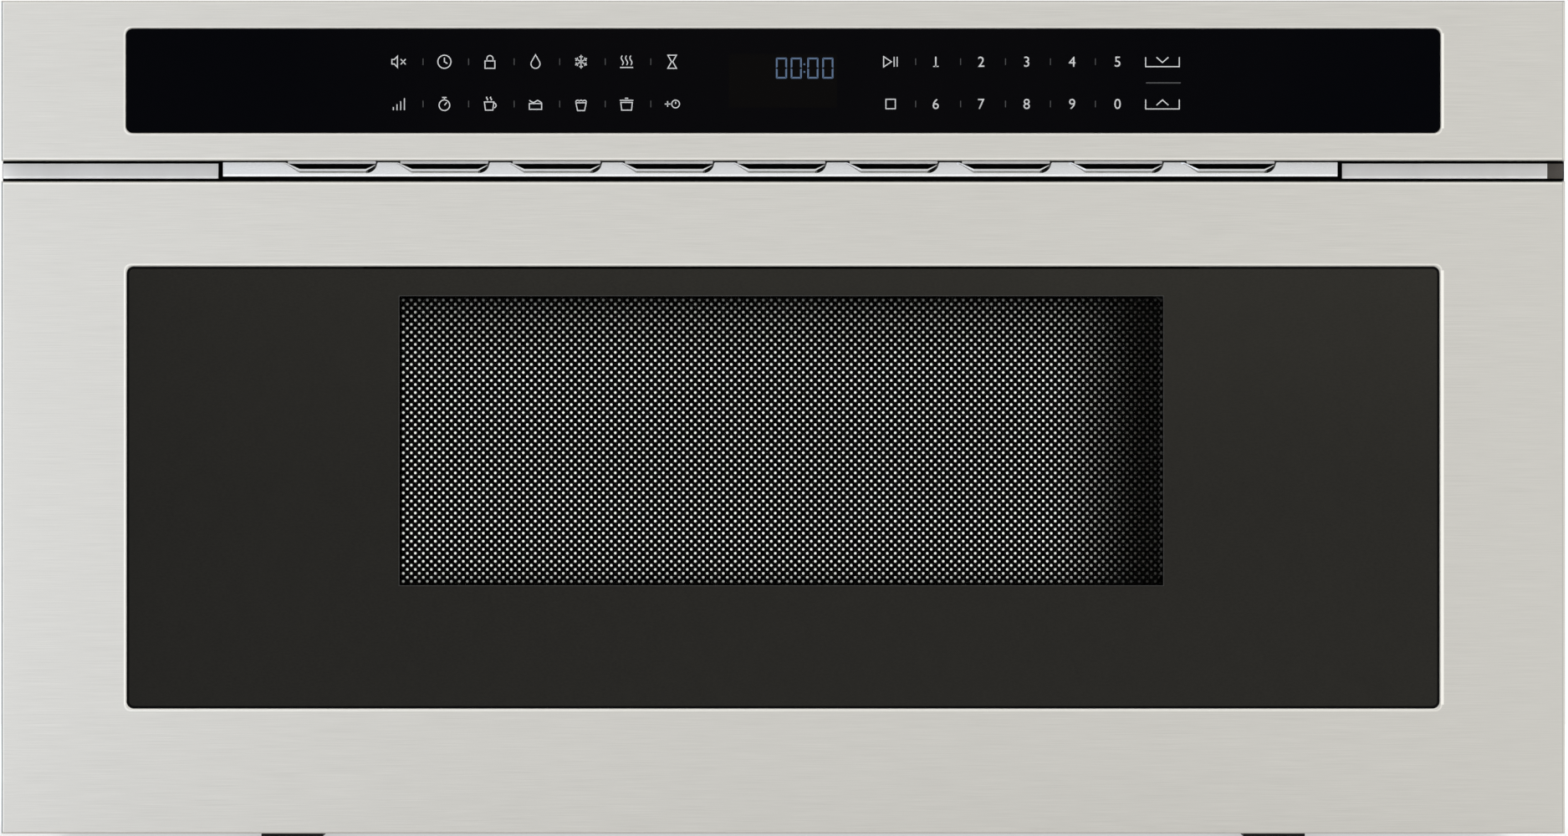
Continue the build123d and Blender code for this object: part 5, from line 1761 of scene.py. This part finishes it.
def soft_world():
    """White where the camera, metal and glass see it, and a soft fill for the rest."""
    world = bpy.data.worlds.new("studio")
    bpy.context.scene.world = world
    world.use_nodes = True
    tree = world.node_tree
    tree.nodes.clear()
    white = add(tree, "ShaderNodeBackground", Color=(1.0, 1.0, 1.0), Strength=1.0)
    fill = add(tree, "ShaderNodeBackground", Color=(1.0, 1.0, 1.0), Strength=0.45)
    mixed = add(tree, "ShaderNodeMixShader")
    for socket, value in zip(mixed.inputs, (seen_rays(tree), fill.outputs[0], white.outputs[0])):
        put(tree, socket, value)
    add(tree, "ShaderNodeOutputWorld", Surface=mixed.outputs[0])


def soft_lamp(name, place, size, power, tint):
    """A square soft lamp that looks at the middle of the object."""
    light = bpy.data.lights.new(name, "AREA")
    light.shape = "SQUARE"
    light.size = size
    light.energy = power
    light.color = tint
    lamp = new_object(name, light)
    lamp.location = place
    lamp.rotation_euler = (LAMP_AIM - Vector(place)).to_track_quat("-Z", "Y").to_euler()


class DRAWER_OT_stage(bpy.types.Operator):
    """The pale floor, the soft lamps and the camera of the photograph"""

    bl_idname = "drawer.stage"
    bl_label = "Stage"

    def execute(self, context):
        scene = context.scene
        scene.view_settings.view_transform = "Standard"
        shape = bmesh.new()
        reach = 6.0
        corners = ((-reach, -reach), (reach, -reach), (reach, reach), (-reach, reach))
        shape.faces.new([shape.verts.new((x, y, 0.0)) for x, y in corners])
        ground = new_object("floor", new_mesh("floor", shape))
        ground.data.materials.append(finish("floor"))
        ground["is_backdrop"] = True
        soft_world()
        for lamp in LAMPS:
            soft_lamp(*lamp)
        data = bpy.data.cameras.new("camera")
        data.sensor_width = CAMERA_SENSOR
        data.lens = CAMERA_LENS
        camera = new_object("camera", data)
        camera.location = CAMERA_PLACE
        camera.rotation_euler = (math.radians(90), 0.0, 0.0)
        scene.camera = camera
        return {"FINISHED"}


# ------------------------------------------------------------------ sidebar and registration
OPERATORS = (
    DRAWER_OT_stage,
    DRAWER_OT_fronts,
    DRAWER_OT_window,
    DRAWER_OT_screen,
    DRAWER_OT_control_glass,
    DRAWER_OT_key_signs,
    DRAWER_OT_key_figures,
    DRAWER_OT_clock,
    DRAWER_OT_louvred_strip,
    DRAWER_OT_slot_strips,
    DRAWER_OT_bin,
    DRAWER_OT_drawer_back,
    DRAWER_OT_slides,
    DRAWER_OT_drive,
    DRAWER_OT_chassis,
    DRAWER_OT_case_screws,
    DRAWER_OT_cavity,
    DRAWER_OT_works,
    DRAWER_OT_cooling,
    DRAWER_OT_electrics,
)


class DRAWER_PT_sidebar(bpy.types.Panel):
    """The drawer's sizes, colours and pieces"""

    bl_idname = "DRAWER_PT_sidebar"
    bl_label = "Microwave drawer"
    bl_space_type = "VIEW_3D"
    bl_region_type = "UI"
    bl_category = "Drawer"

    def draw(self, context):
        for group in (context.scene.drawer_sizes, context.scene.drawer_colours):
            box = self.layout.box()
            for name in group.__annotations__:
                box.prop(group, name)
        for piece in OPERATORS:
            self.layout.operator(piece.bl_idname)


CLASSES = (DrawerSizes, DrawerColours, *OPERATORS, DRAWER_PT_sidebar)


def register():
    for kind in CLASSES:
        bpy.utils.register_class(kind)
    bpy.types.Scene.drawer_sizes = PointerProperty(type=DrawerSizes)
    bpy.types.Scene.drawer_colours = PointerProperty(type=DrawerColours)


def unregister():
    del bpy.types.Scene.drawer_colours
    del bpy.types.Scene.drawer_sizes
    for kind in reversed(CLASSES):
        bpy.utils.unregister_class(kind)


def corners():
    """The object's box as plain lists of numbers."""
    return [[float(part) for part in corner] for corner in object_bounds()]


def main():
    """Builds everything in order."""
    register()
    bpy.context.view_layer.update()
    for piece in OPERATORS:
        group, name = piece.bl_idname.split(".")
        getattr(getattr(bpy.ops, group), name)()


if __name__ == "__main__":
    main()
